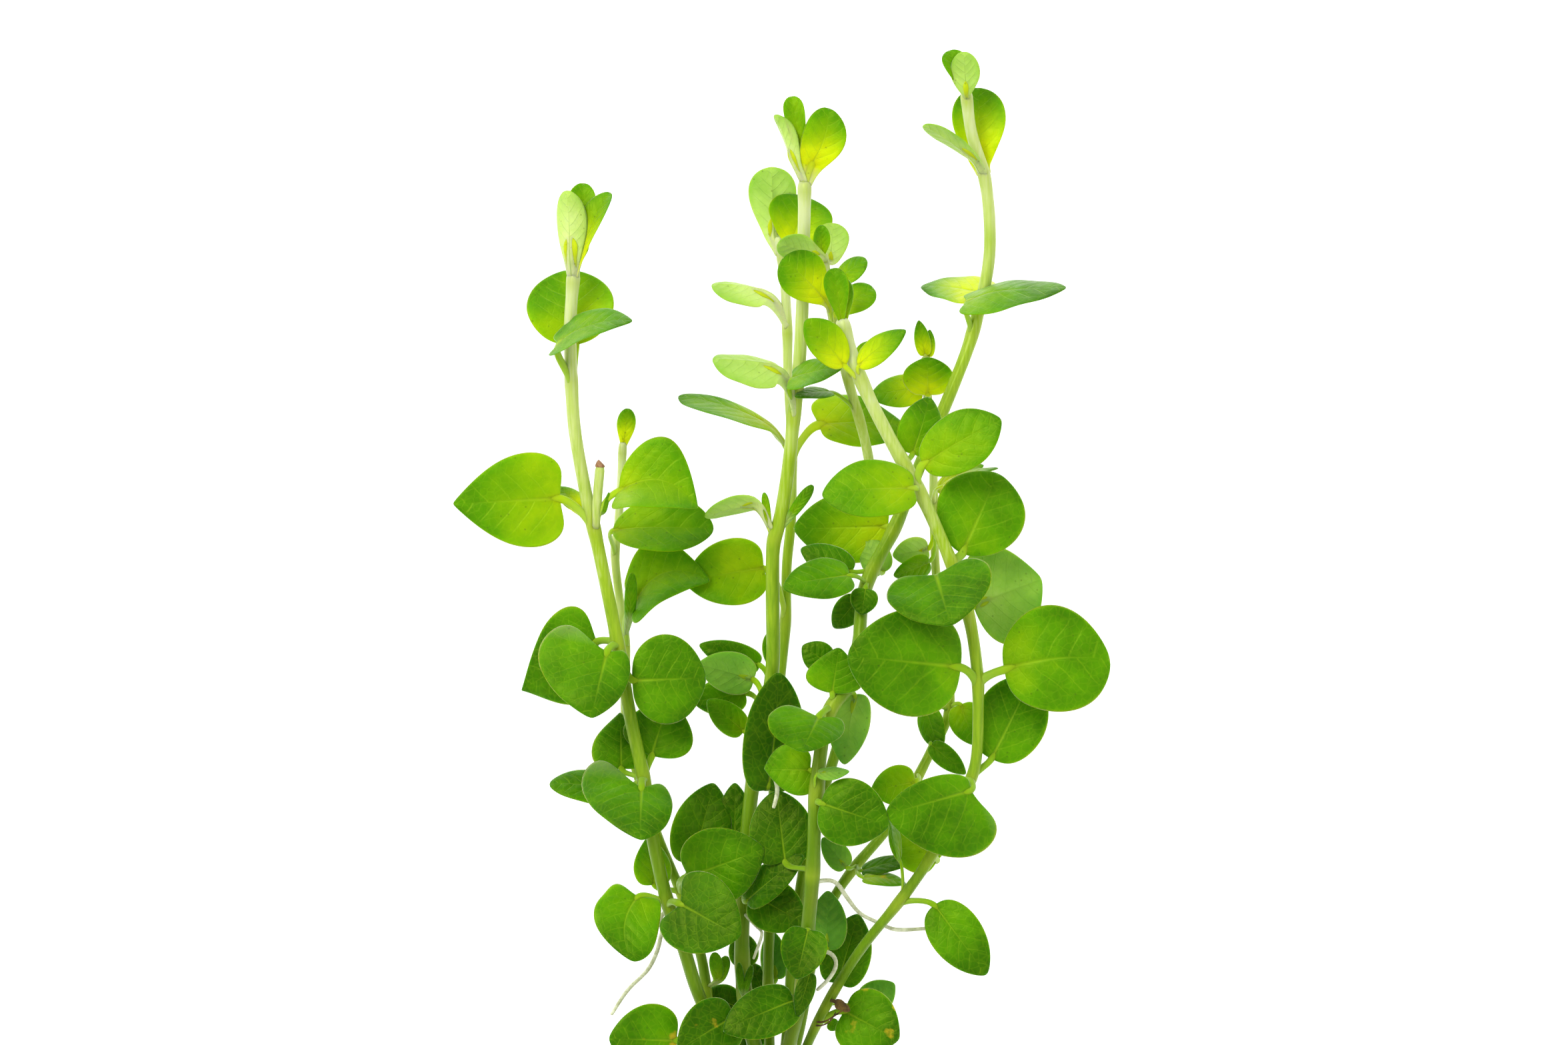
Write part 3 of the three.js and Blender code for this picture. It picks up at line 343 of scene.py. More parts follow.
@dataclass
class Shoot:
    """A stem from its growing tip to the crown, with its small leaves, roots and stub."""

    name: str
    radius: tuple[float, float]
    route: list[Triple]

    def points(self) -> list[Vector]:
        """Return the points of the middle line."""
        return [Vector(point) for point in self.route]

    def joint(self, height: float) -> tuple[Vector, Vector, float]:
        """Find a height on the stem.

        Args:
            height: The y of the joint.

        Returns:
            The place on the middle line, the direction towards the tip and the distance below the tip.
        """
        points = self.points()
        i = next(k for k, point in enumerate(points) if k and point.y <= height)
        above, below = points[i - 1], points[i]
        share = (above.y - height) / (above.y - below.y)
        return above.lerp(below, share), (above - below).normalized(), points[0].y - height

    def grow(self, sculpt: Sculpt, joints: list[float]) -> None:
        """Add the stem, a little wider at every joint.

        Args:
            sculpt: The mesh that takes it.
            joints: Heights of the joints.
        """
        points = self.points()
        line = Line(points, SIDEWAYS)
        total = line.lengths[-1]
        rings = max(int(total / STEM_STEP), FEWEST_RINGS)
        top, base = (radius * STEM_FULLNESS for radius in self.radius)
        phase = ord(self.name)

        radii = []
        for ring in range(rings):
            share = ring / (rings - 1)
            at = line.at(share)[0]
            swell = sum(math.exp(-((at.y - joint - SWELLING_RISE) / SWELLING_LENGTH) ** 2)
                        for joint in joints)
            sway = STEM_SWAY * noise.noise(Vector((share * total * STEM_SWAY_PITCH, phase, 0)))
            radii.append((top + (base - top) * share) * (1 + SWELLING * min(swell, 1.0) + sway))

        def run(share: float, around: float) -> tuple[Triple, float]:
            """Give the nearness of a joint, and an age that grows with the distance from the tip."""
            at = line.at(share)[0]
            near = max([math.exp(-((at.y - joint) / TINT_LENGTH) ** 2) for joint in joints] + [0.0])
            return (share * total, around, near), min(share * total / STEM_AGEING, 1.0)

        sculpt.tube(points, radii, radii, SIDEWAYS, Skin.STEM, run, STEM_SIDES, rings + 1, RIB_DEPTH)


SHOOTS = {
    "a": Shoot("a", (0.85, 0.92), [
        (-33.8, 115.7, 34), (-34.3, 108.8, 34.2), (-34.3, 103.8, 34), (-34.1, 98.5, 34),
        (-33.6, 91.8, 33.8), (-32.0, 82.8, 33.2), (-30.7, 77.1, 33), (-29.2, 70, 32.4), (-27.2, 60, 31),
        (-25.3, 48.8, 29.6), (-23.3, 39.6, 28.4), (-22.0, 30.8, 27.3), (-19.7, 20.8, 26),
        (-17.5, 14.8, 25), (-15.3, 7.8, 24), (-11.5, -0.5, 21.5), (-7.5, -7, 18.5)]),
    "b": Shoot("b", (0.55, 0.75), [
        (-26.7, 90.5, 14), (-27.0, 84, 13.5), (-27.4, 78, 13.5), (-27.9, 73.5, 13.5), (-27.2, 66.8, 13.3),
        (-26.3, 59.8, 13.2), (-26.3, 48.8, 13.6), (-25.2, 42.8, 14.2), (-21.5, 31.3, 15.2),
        (-17.8, 22.3, 16), (-14.8, 12.8, 16.8), (-13.5, 5, 17), (-9.5, -3.5, 16.8), (-6.5, -8, 16.5)]),
    "c": Shoot("c", (0.85, 1.05), [
        (0.7, 129.5, 28), (0.6, 122.8, 28), (0.4, 111.8, 28), (-0.2, 100.8, 28), (-1.0, 93.8, 28),
        (-1.7, 86.8, 28), (-3.0, 78.8, 27.5), (-4.0, 75.3, 27.3), (-4.1, 66.8, 26.6), (-4.1, 56.8, 25),
        (-5.3, 48.8, 23), (-7.0, 39.8, 21.5), (-7.9, 31.8, 20.5), (-8.5, 21.8, 19.5), (-8.7, 12.8, 19),
        (-7.8, 3.8, 18.2), (-5.2, -6, 17)]),
    "d": Shoot("d", (0.65, 0.75), [
        (-3.2, 121.5, 14), (-2.3, 115, 13.2), (-1.9, 107.3, 13), (-1.8, 100.8, 13), (-1.3, 92.5, 13.3),
        (-1.2, 87.6, 13.5), (-1.3, 79, 13.3), (-2.0, 71.8, 13), (-2.2, 62.8, 13), (-3.4, 50, 13),
        (-4.1, 34, 13), (-4.6, 18, 13.4), (-4.8, 6.8, 14), (-4.4, -6, 15)]),
    "e": Shoot("e", (0.65, 0.8), [
        (3.4, 118.8, 28), (4.2, 113.3, 28), (5.4, 107, 27.5), (7.4, 99, 26.5), (8.8, 94.3, 25.5),
        (10.2, 88.6, 23.5), (11.2, 80.8, 20), (10.6, 72.8, 17.5), (9.0, 62.8, 16), (6.2, 46.8, 16.5),
        (1.7, 31.8, 17.5), (-0.8, 16.8, 18.2), (-1.6, 5, 18.2), (-2.6, -6, 17.4)]),
    "f": Shoot("f", (0.95, 0.62), [
        (6.2, 108.8, 35), (7.4, 104.3, 35), (9.6, 98.5, 35), (13.2, 91.3, 35), (17.8, 83.1, 35),
        (20.7, 76.8, 35), (22.8, 71.8, 34.8), (25.2, 64.3, 34.5), (26.4, 56.8, 34), (26.6, 50.8, 33.8),
        (26.3, 42.8, 32.9), (24.6, 38, 32.3), (19.5, 28.3, 30.2), (15.0, 21.8, 28.5), (9.4, 14.8, 26),
        (5.0, 7.8, 23), (1.6, 1, 20.4), (-1.0, -5.5, 18)]),
    "g": Shoot("g", (0.55, 0.75), [
        (18.9, 103.5, 12.5), (19.3, 97.1, 12), (20.1, 88, 12), (20.2, 80, 12), (20.6, 70, 12.2),
        (22.2, 58, 13), (22.5, 49.8, 14), (20.0, 44.4, 14.6), (14.2, 33.6, 14.6), (8.0, 26.1, 14),
        (4.2, 20, 12.8), (1.8, 12, 11.8), (0.2, 3, 12), (-2.2, -6.5, 14)]),
    "h": Shoot("h", (0.8, 1.0), [
        (25.0, 143.3, 18), (25.8, 137, 17.6), (27.8, 130.5, 17), (28.6, 122.8, 17), (28.2, 116, 17.2),
        (25.8, 106.3, 18), (23.4, 99.8, 19), (21.0, 94, 19.6), (17.8, 86.5, 21), (14.4, 78, 23.2),
        (9.8, 68.8, 26.5), (8.8, 60, 29.6), (8.0, 54.8, 31.4), (4.6, 50.8, 32.6), (3.2, 45, 34),
        (2.3, 36.3, 34.6), (1.9, 26.4, 33.2), (1.2, 17.8, 30.8), (0.2, 8, 26.6), (-1.4, 1, 23.4),
        (-3.2, -5.5, 20.4)]),
}


# Leaves


@dataclass
class Leaf:
    """A blade and the stalk that carries it from a joint of its shoot.

    Node is the height of that joint. The midrib runs from notch to tip, and roll turns the blade about it
    in degrees. Arch bows the midrib, cup dishes the blade across, sweep bends it sideways, skew slides its
    halves along the midrib in opposite directions, lean makes one half wider than the other, fold creases
    the blade along the midrib and curl turns its tip up. Wave is the depth of the ripples along its
    margin. Lobe is the depth of the notch, belly moves the widest place towards the foot where it is below
    0, and pointed straightens the margins near the tip. A wedge of 1 makes the blade narrow gradually all
    the way to the joint, as young leaves do, and stalk widens the stalk. Tone makes the leaf greener or,
    below 0, paler than its age; it is partly the leaf's own colour and partly painted light, since a paler
    tone also stands for the sheen or highlight that a leaf catches. Wear marks damage and dead makes
    it a husk.
    """

    stem: str
    node: float
    notch: Triple
    tip: Triple
    width: float
    roll: float = 0.0
    cup: float = 0.0
    arch: float = 0.05
    sweep: float = 0.0
    skew: float = 0.0
    lean: float = 0.0
    lobe: float = LOBE
    belly: float = BELLY
    pointed: float = 0.2
    fold: float = 0.0
    curl: float = 0.0
    wave: float = 0.018
    wedge: float = 0.0
    stalk: float = 1.0
    # Partly painted light: a paler tone also stands for a sheen or highlight on the leaf
    tone: float = 0.0
    wear: float = 0.0
    dead: bool = False

    def __post_init__(self) -> None:
        """Find the foot of the stalk on the shoot, and the leaf's main directions."""
        self.foot, self.up, below_tip = SHOOTS[self.stem].joint(self.node)
        # The tone shifts the age and so the green; a paler tone is partly painted highlight or sheen
        self.age = min(max(min(below_tip / MATURE, OLDEST) + self.tone, 0.0), 1.0)
        span = Vector(self.tip) - Vector(self.notch)
        self.length = span.length
        self.along = span.normalized()
        self.lift = (UPWARDS - self.along * self.along.z).normalized()
        self.reach = (Vector(self.notch) - self.foot).length
        self.start = -WEDGE_REACH * self.wedge * self.reach

    def spine(self, x: float) -> tuple[Vector, Vector]:
        """Find a place on the middle line of the leaf and its direction there.

        Args:
            x: Distance from the notch, negative on the stalk.

        Returns:
            The place and the direction.
        """
        notch = Vector(self.notch)
        if x >= 0:
            return notch + self.along * x, self.along
        t = max(1 + x / self.reach, 0.0)
        rise, run = self.up * (self.reach * STALK_RISE), self.along * (self.reach * STALK_RISE)
        place = (self.foot * (2 * t ** 3 - 3 * t ** 2 + 1) + rise * (t ** 3 - 2 * t ** 2 + t)
                 + notch * (3 * t ** 2 - 2 * t ** 3) + run * (t ** 3 - t ** 2))
        slope = (self.foot * (6 * t ** 2 - 6 * t) + rise * (3 * t ** 2 - 4 * t + 1)
                 + notch * (6 * t - 6 * t ** 2) + run * (3 * t ** 2 - 2 * t))
        return place, slope.normalized()

    def lie(self, x: float, y: float, edge: float = 0.0) -> tuple[Vector, Vector, Vector]:
        """Find a place on the middle surface of the blade.

        Args:
            x: Distance along the midrib from the notch.
            y: Distance across it.
            edge: How near the margin the place is, from 0 to 1.

        Returns:
            The place, the direction out of the upper face and the direction across.
        """
        length = self.length
        share = x / length
        turn = math.radians(self.roll)
        normal = self.lift * math.cos(turn) + self.along.cross(self.lift) * math.sin(turn)
        side = normal.cross(self.along)
        place, direction = self.spine(x)
        if x < 0 and not self.wedge:
            free = ease(0.0, self.stalk_width, abs(y))
            place = place.lerp(Vector(self.notch) + self.along * x, free)
            direction = direction.lerp(self.along, free).normalized()
        side = (side - direction * side.dot(direction)).normalized()
        normal = direction.cross(side)
        bow = 4 * share * (1 - share) if share > 0 else 0.0
        across = 2 * y / self.width
        rise = self.arch * length * bow + self.cup * self.width * across ** 2
        rise += self.fold * self.width * (math.sqrt(across ** 2 + CREASE) - math.sqrt(CREASE))
        rise += self.curl * length * ease(*CURL, share)
        phase = HALF_PHASE if y > 0 else 0.0
        ripple = 2 * math.pi * (WAVES * share + LEAF_PHASE * self.notch[0] + phase)
        rise += self.wave * self.width * edge ** 3 * math.sin(ripple) * bow
        own = 3.1 * self.notch[0] + self.notch[1]  # a different undulation for each leaf
        lumps = noise.noise(Vector((LUMPS[0] * share, LUMPS[1] * across, own)))
        rise += UNEVEN * self.width * lumps * ease(*SMOOTH_FOOT, share)
        shift = y + self.sweep * length * bow
        return place + side * shift + normal * rise, normal, side

    def outline(self, angle: float, half_width: float, lobe: float) -> tuple[float, float]:
        """Find a point of the margin.

        Args:
            angle: Its angle from the tip, as on an ellipse.
            half_width: Half the width of the blade.
            lobe: The depth of the notch at the foot, as a share of the length.

        Returns:
            Its distances along and across the midrib.
        """
        if self.wedge:
            share = (1 + math.cos(angle)) / 2
            widest = WEDGE_WIDEST + WEDGE_SHIFT * self.belly
            foot = min(WEDGE_FOOT * self.stalk_width / self.width, 0.9)
            half = foot + (1 - foot) * ease(WEDGE_START, widest, share)
            past = max(0.0, (share - widest) / (1 - widest))
            half *= math.sqrt(max(0.0, 1 - past ** WEDGE_FULLNESS))
            half *= min(1.0, WEDGE_ENDS * math.sin(angle))
            return self.start + (self.length - self.start) * share, half_width * half
        dent = lobe * math.exp(-((math.pi - angle) / LOBE_SPREAD) ** 2)
        drawn = POINT * math.exp(-(angle / POINT_SPREAD) ** 2)
        reach = (1 - POINT - lobe) / 2 + (1 - POINT + lobe) / 2 * math.cos(angle) + dent + drawn
        half = half_width * math.sin(angle) * (1 + self.belly * math.cos(angle))
        if angle < math.pi / 2:
            half *= math.sin(angle) ** self.pointed
        return reach * self.length, half

    @property
    def stalk_width(self) -> float:
        """Return the half width of the stalk."""
        return self.stalk * (STALK_HALF_WIDTH + STALK_GAIN * self.width)

    def face(self, level: int) -> Callable[[float, float], Spot]:
        """Make the rule that bends a grid into one face of the blade.

        Args:
            level: 1 for the upper face and -1 for the underside.

        Returns:
            The rule.
        """

        def place(u: float, v: float) -> Spot:
            """Lay the grid from foot to tip and from margin to margin."""
            spread = 2 * v - 1
            share = math.copysign(abs(spread) ** CROWDING, spread)
            edge = abs(share)
            uneven = 1 + math.copysign(self.lean, spread * self.lean)
            reach, half = self.outline(math.pi * (1 - u), self.width / 2 * uneven, self.lobe * uneven)
            x = (self.start + (self.length - self.start) * u) * (1 - edge) + reach * edge
            y = half * share
            at, normal, _ = self.lie(x + self.skew * y, y, edge)
            tip, foot = math.sqrt(TIP_CLOSING * max(1 - u, 0)), math.sqrt(FOOT_CLOSING * u)
            open_ends = min(1.0, tip) * min(1.0, foot)
            inner = 1 - edge ** 4
            body = BLADE_HALF_THICKNESS * math.sqrt(max(0.0, inner))
            if level > 0:
                body -= GROOVE_DEPTH * inner * (1 - u) * math.exp(-(y / GROOVE_WIDTH) ** 2)
            else:
                keel = self.stalk_width * (1 - u) ** KEEL_TAPER + KEEL_END
                body += KEEL_DEPTH * keel * inner * math.exp(-(y / keel) ** 2)
            lay = (x / self.length, 2 * y / self.width, max(edge, ease(*TIP_RIM, u)))
            return Spot(at + normal * (level * body * open_ends), lay, self.age)

        return place

    def grow(self, sculpt: Sculpt, rows: int, columns: int) -> None:
        """Add the blade and its stalk to a mesh.

        Args:
            sculpt: The mesh.
            rows: Faces of the blade along its midrib.
            columns: Faces across it.
        """
        upper, under = (Skin.HUSK, Skin.HUSK) if self.dead else (Skin.UPPER, Skin.UNDER)
        sculpt.close([sculpt.sheet(rows, columns, upper, self.face(1), self.wear),
                      sculpt.sheet(rows, columns, under, self.face(-1), self.wear)])
        notch_sink, free_sink = (depth * self.wedge for depth in STALK_SINK)
        stations = [(share * self.length, depth) for share, depth in STALK_UNDER] + [(0.0, notch_sink)]
        stations += [(-self.reach * share, free_sink) for share in STALK_STATIONS]
        route = []
        for x, depth in stations:
            at, normal, _ = self.lie(x, 0)
            route.append(at - normal * depth)
        base = self.stalk_width
        slim = base / math.sqrt(max(self.stalk, 1.0))
        widths = [base * k for k in STALK_WIDTHS] + [slim * k for k in STALK_FOOT_WIDTHS]
        depths = [slim * k for k in STALK_DEPTHS]
        side = self.lie(stations[0][0], 0.0)[2]

        def run(share: float, around: float) -> tuple[Triple, float]:
            """Colour the stalk like the foot of the midrib, and more like a stem towards the joint."""
            return (0.02 - 0.4 * max(share - 0.3, 0.0), 0.0, 0.0), self.age

        sculpt.tube(route, widths, depths, side, upper, run, STALK_SIDES, STALK_ROWS)


# Grown leaves, each of them a piece
# A paler tone in these rows is partly painted light, for a leaf that shows a sheen or highlight
LEAVES = {
    "leaf_a2_back": Leaf("a", 99, (-34, 104.9, 31.6), (-34.7, 116.3, 27.5), 14, cup=0.06, lobe=0.02,
        belly=0.02, pointed=0, stalk=1.6, tone=0.08),
    "leaf_a2_front": Leaf("a", 99, (-36.2, 104.9, 37), (-24.9, 108.4, 41), 9.6, roll=-62, cup=0.06,
        arch=0.1, lobe=0.24, stalk=2.2, tone=0.3),
    "leaf_a3_left": Leaf("a", 77.3, (-35.8, 82, 34.4), (-51.8, 81.2, 36.4), 14.6, arch=0.04, lobe=0.15,
        belly=-0.3, pointed=0.45, tone=-0.1),
    "leaf_a3_right": Leaf("a", 77.3, (-27.2, 83, 35), (-15.2, 80.6, 37), 13, roll=-26, arch=0.12,
        sweep=0.2, pointed=0.5, fold=0.24, tone=-0.08),
    "leaf_a4_front": Leaf("a", 60, (-28.8, 59.2, 34), (-31.2, 49.2, 38), 15, cup=-0.05, lean=-0.41,
        lobe=0.36, tone=0.05),
    "leaf_a4_back": Leaf("a", 60, (-30.4, 60.6, 28.6), (-41.8, 53.2, 26), 14, skew=0.2, belly=-0.4,
        pointed=0.7, tone=0.05),
    "leaf_a4_right": Leaf("a", 60, (-25.1, 54.8, 32.6), (-14, 55.2, 32.4), 14.4, lobe=0.06, belly=0,
        pointed=0.05, tone=0.05),
    "leaf_a5_front": Leaf("a", 39.8, (-23.7, 38.9, 32), (-23.9, 30.9, 38), 14.6, cup=-0.06, skew=0.25,
        lean=-0.31, lobe=0.5, tone=-0.1),
    "leaf_a5_right": Leaf("a", 39.8, (-22.2, 43.4, 26.6), (-19.4, 52, 25), 11, roll=-10, lobe=0.02,
        belly=-0.35, tone=-0.2),
    "leaf_a6_left": Leaf("a", 20.8, (-24.2, 22.4, 27.4), (-25.1, 12.7, 31.5), 11, sweep=-0.16, skew=0.3,
        lobe=0.24, tone=-0.3),
    "leaf_a6_right": Leaf("a", 20.8, (-18, 21.4, 31), (-8.8, 16.6, 35), 13.2, lobe=0.32),
    "leaf_a7_left": Leaf("a", -0.4, (-18.5, 0.6, 23), (-28.7, 1, 24.5), 11.6, tone=-0.28, wear=0.42),
    "leaf_a7_front": Leaf("a", 0, (-9.8, 4.5, 27), (-18.3, -0.5, 29.5), 9.6, tone=0.1, wear=0.24),
    "leaf_b2_right": Leaf("b", 73.5, (-28.2, 77.2, 19.5), (-12.9, 77.4, 22), 10, roll=-28, cup=0.02,
        lobe=0.02, belly=0.15, pointed=0, fold=0.1, tone=0.2),
    "leaf_b3_right": Leaf("b", 59.8, (-25, 66, 17.5), (-13.6, 69.8, 19.5), 11.4, roll=-30, sweep=0.26,
        lobe=0.2, fold=0.18, stalk=1.5, tone=0.15),
    "leaf_b4_front": Leaf("b", 22.5, (-16.8, 25.2, 24.6), (-5.4, 29.6, 27.4), 12.4, tone=-0.05),
    "leaf_b4_up": Leaf("b", 22.5, (-16.1, 27, 18.6), (-13, 39.2, 16.6), 9.6),
    "leaf_c2_left": Leaf("c", 93.8, (-3.4, 101.2, 29.4), (-13.2, 102.6, 30.6), 9.6, roll=-120, cup=0.16,
        arch=-0.05, wedge=1, stalk=2.4, tone=-0.3),
    "leaf_c2_right": Leaf("c", 93.8, (-1.2, 100, 31.2), (6.3, 101.4, 34), 8.6, roll=-60, lobe=0.2,
        stalk=1.6, tone=0.15),
    "leaf_c5_up": Leaf("c", 39.8, (-4.8, 38.2, 25.2), (-3.2, 56, 28.4), 10, roll=12, belly=-0.05,
        pointed=0.05, tone=0.2),
    "leaf_c6_right": Leaf("c", 21.8, (-7, 22.4, 22.6), (0.8, 18.2, 24), 8.4),
    "leaf_c8_left": Leaf("c", 7, (-0.9, 6.8, 28), (-11.5, 2.2, 30), 8.6, roll=18, tone=0.1),
    "leaf_d1_back": Leaf("d", 118.5, (-3.9, 121.6, 13), (-4.3, 132.1, 14), 7.8, roll=180, cup=0.14,
        belly=0.35, wedge=1, stalk=1.8, tone=-0.3),
    "leaf_d1_cup": Leaf("d", 118.5, (-1.2, 120.6, 14.8), (1, 127.6, 12.8), 10.6, cup=0.16, wedge=0.8,
        stalk=1.8, tone=0.1),
    "leaf_d3_left": Leaf("d", 107.3, (-5, 112.7, 12.8), (-13.4, 114.2, 11.8), 7.4, roll=-116, cup=0.18,
        arch=-0.05, wedge=1, stalk=2.4, tone=-0.25),
    "leaf_d5_left": Leaf("d", 87.6, (-4.8, 93.2, 15.6), (-18.4, 97.4, 16.6), 8, roll=62, cup=0.06,
        lean=0.4, wedge=0.6, stalk=1.8, tone=-0.15),
    "leaf_d5_right": Leaf("d", 87.6, (2.8, 93.2, 15.4), (15.9, 93, 14.4), 10.6, roll=-36, skew=-0.3,
        lean=0.1, wave=0.03, stalk=1.6, tone=-0.15),
    "leaf_d6_left": Leaf("d", 63.5, (-5.4, 71.6, 17.4), (-17.4, 69.4, 17.4), 11, roll=12, cup=-0.04,
        fold=0.1, tone=-0.35),
    "leaf_e2_left": Leaf("e", 107.4, (3.6, 111.9, 31), (-2.6, 118, 32.6), 8.2, roll=14, cup=0.1,
        belly=0.1, wedge=0.5, tone=-0.1),
    "leaf_f2_left": Leaf("f", 83.3, (17, 83.5, 37.4), (3.2, 82.4, 39.4), 10.2, roll=24, arch=0.08,
        belly=0.05, tone=0.15),
    "leaf_f2_right": Leaf("f", 83.3, (18.2, 87, 36.8), (30, 93.8, 38.4), 9.8, roll=-15, lobe=0.05,
        belly=0.1, stalk=1.4, tone=0.12),
    "leaf_f3_right": Leaf("f", 72.2, (24.2, 73.7, 33), (29.6, 85.8, 31.4), 14.4, lobe=0, belly=0.08,
        pointed=0.05, stalk=1.2, tone=0.15),
    "leaf_f4_front": Leaf("f", 64.6, (20.2, 70.7, 38.4), (22.4, 63, 44.6), 17, cup=0.05, lobe=0.28,
        tone=0.2),
    "leaf_f4_right": Leaf("f", 64.6, (25.8, 66, 30.4), (36.2, 70, 27.6), 16.4, roll=176, lobe=0.06,
        tone=-0.1),
    "leaf_f5_left": Leaf("f", 54.2, (24, 56.8, 36.4), (7, 58.6, 38.6), 17.2, lobe=0.05, pointed=0,
        tone=0.1),
    "leaf_f5_right": Leaf("f", 54.2, (30.4, 56.4, 34.6), (46.3, 58, 35.6), 17.2, sweep=0.06, skew=-0.08,
        lobe=0.05, belly=0.06, pointed=0, tone=-0.05),
    "leaf_f6_left": Leaf("f", 40, (25.6, 38.4, 35.4), (12.8, 34.9, 38), 13.8, skew=-0.1, lean=0.45,
        lobe=0.22, pointed=0, tone=-0.12),
    "leaf_f6_right": Leaf("f", 40, (28.6, 43, 31.4), (34.8, 55.4, 28.6), 11.6, lobe=0.05, belly=0,
        pointed=0.1, tone=-0.1),
    "leaf_f7_right": Leaf("f", 21.2, (20.1, 21.2, 29.6), (27.9, 10.7, 30.4), 8.4, lobe=0.04,
        pointed=0.1, tone=-0.2),
    "leaf_f8_left": Leaf("f", 8, (5.7, 9, 19), (8.8, 19.5, 17), 8),
    "leaf_f9_right": Leaf("f", 3, (6.6, 5, 22), (14.9, 0.8, 24), 10.8, tone=-0.25, wear=0.4),
    "leaf_h1_back": Leaf("h", 130.5, (27.2, 132.6, 15), (26.8, 144.1, 12.6), 8.7, cup=0.14, belly=0,
        wedge=1, stalk=2.2, tone=-0.25),
    "leaf_h2_front": Leaf("h", 106.6, (25, 111.6, 21.4), (40, 113.6, 24.4), 12, roll=-68, cup=-0.06,
        lobe=0.2, tone=0.05),
    "leaf_h2_back": Leaf("h", 106.6, (27.2, 113.2, 14.4), (18.2, 113.8, 12.6), 12, roll=68, lobe=0.4,
        tone=-0.5),
    "leaf_h3_front": Leaf("h", 68.9, (7.5, 70.5, 30), (-2.6, 68.5, 33), 8, roll=35, tone=-0.2),
    "leaf_h3_back": Leaf("h", 77, (13.3, 77.8, 20.5), (-1, 77.5, 18), 11.5, tone=-0.45),
    "leaf_h5_front": Leaf("h", 50.5, (2.8, 49.4, 37), (0.2, 44.3, 42.6), 11.8, skew=-0.42, lean=-0.22,
        lobe=0.3, tone=-0.2),
    "leaf_h6_left": Leaf("h", 39, (1.6, 41.4, 33), (-5.4, 41.6, 32), 8.2, skew=-0.2, lobe=0.2,
        pointed=0.5, tone=-0.4),
    "leaf_h6_right": Leaf("h", 36.6, (3, 36.6, 36.8), (13.3, 33.2, 38), 10.8, lobe=0.05, tone=-0.12),
    "leaf_h7_left": Leaf("h", 26, (-2.2, 27.4, 27), (-3.6, 38.2, 25), 10.4, pointed=0, tone=0.1),
    "leaf_h9_front": Leaf("h", 16, (1.2, 17.6, 33), (-0.6, 10.2, 35), 7.4, cup=0.16, tone=0.08),
}
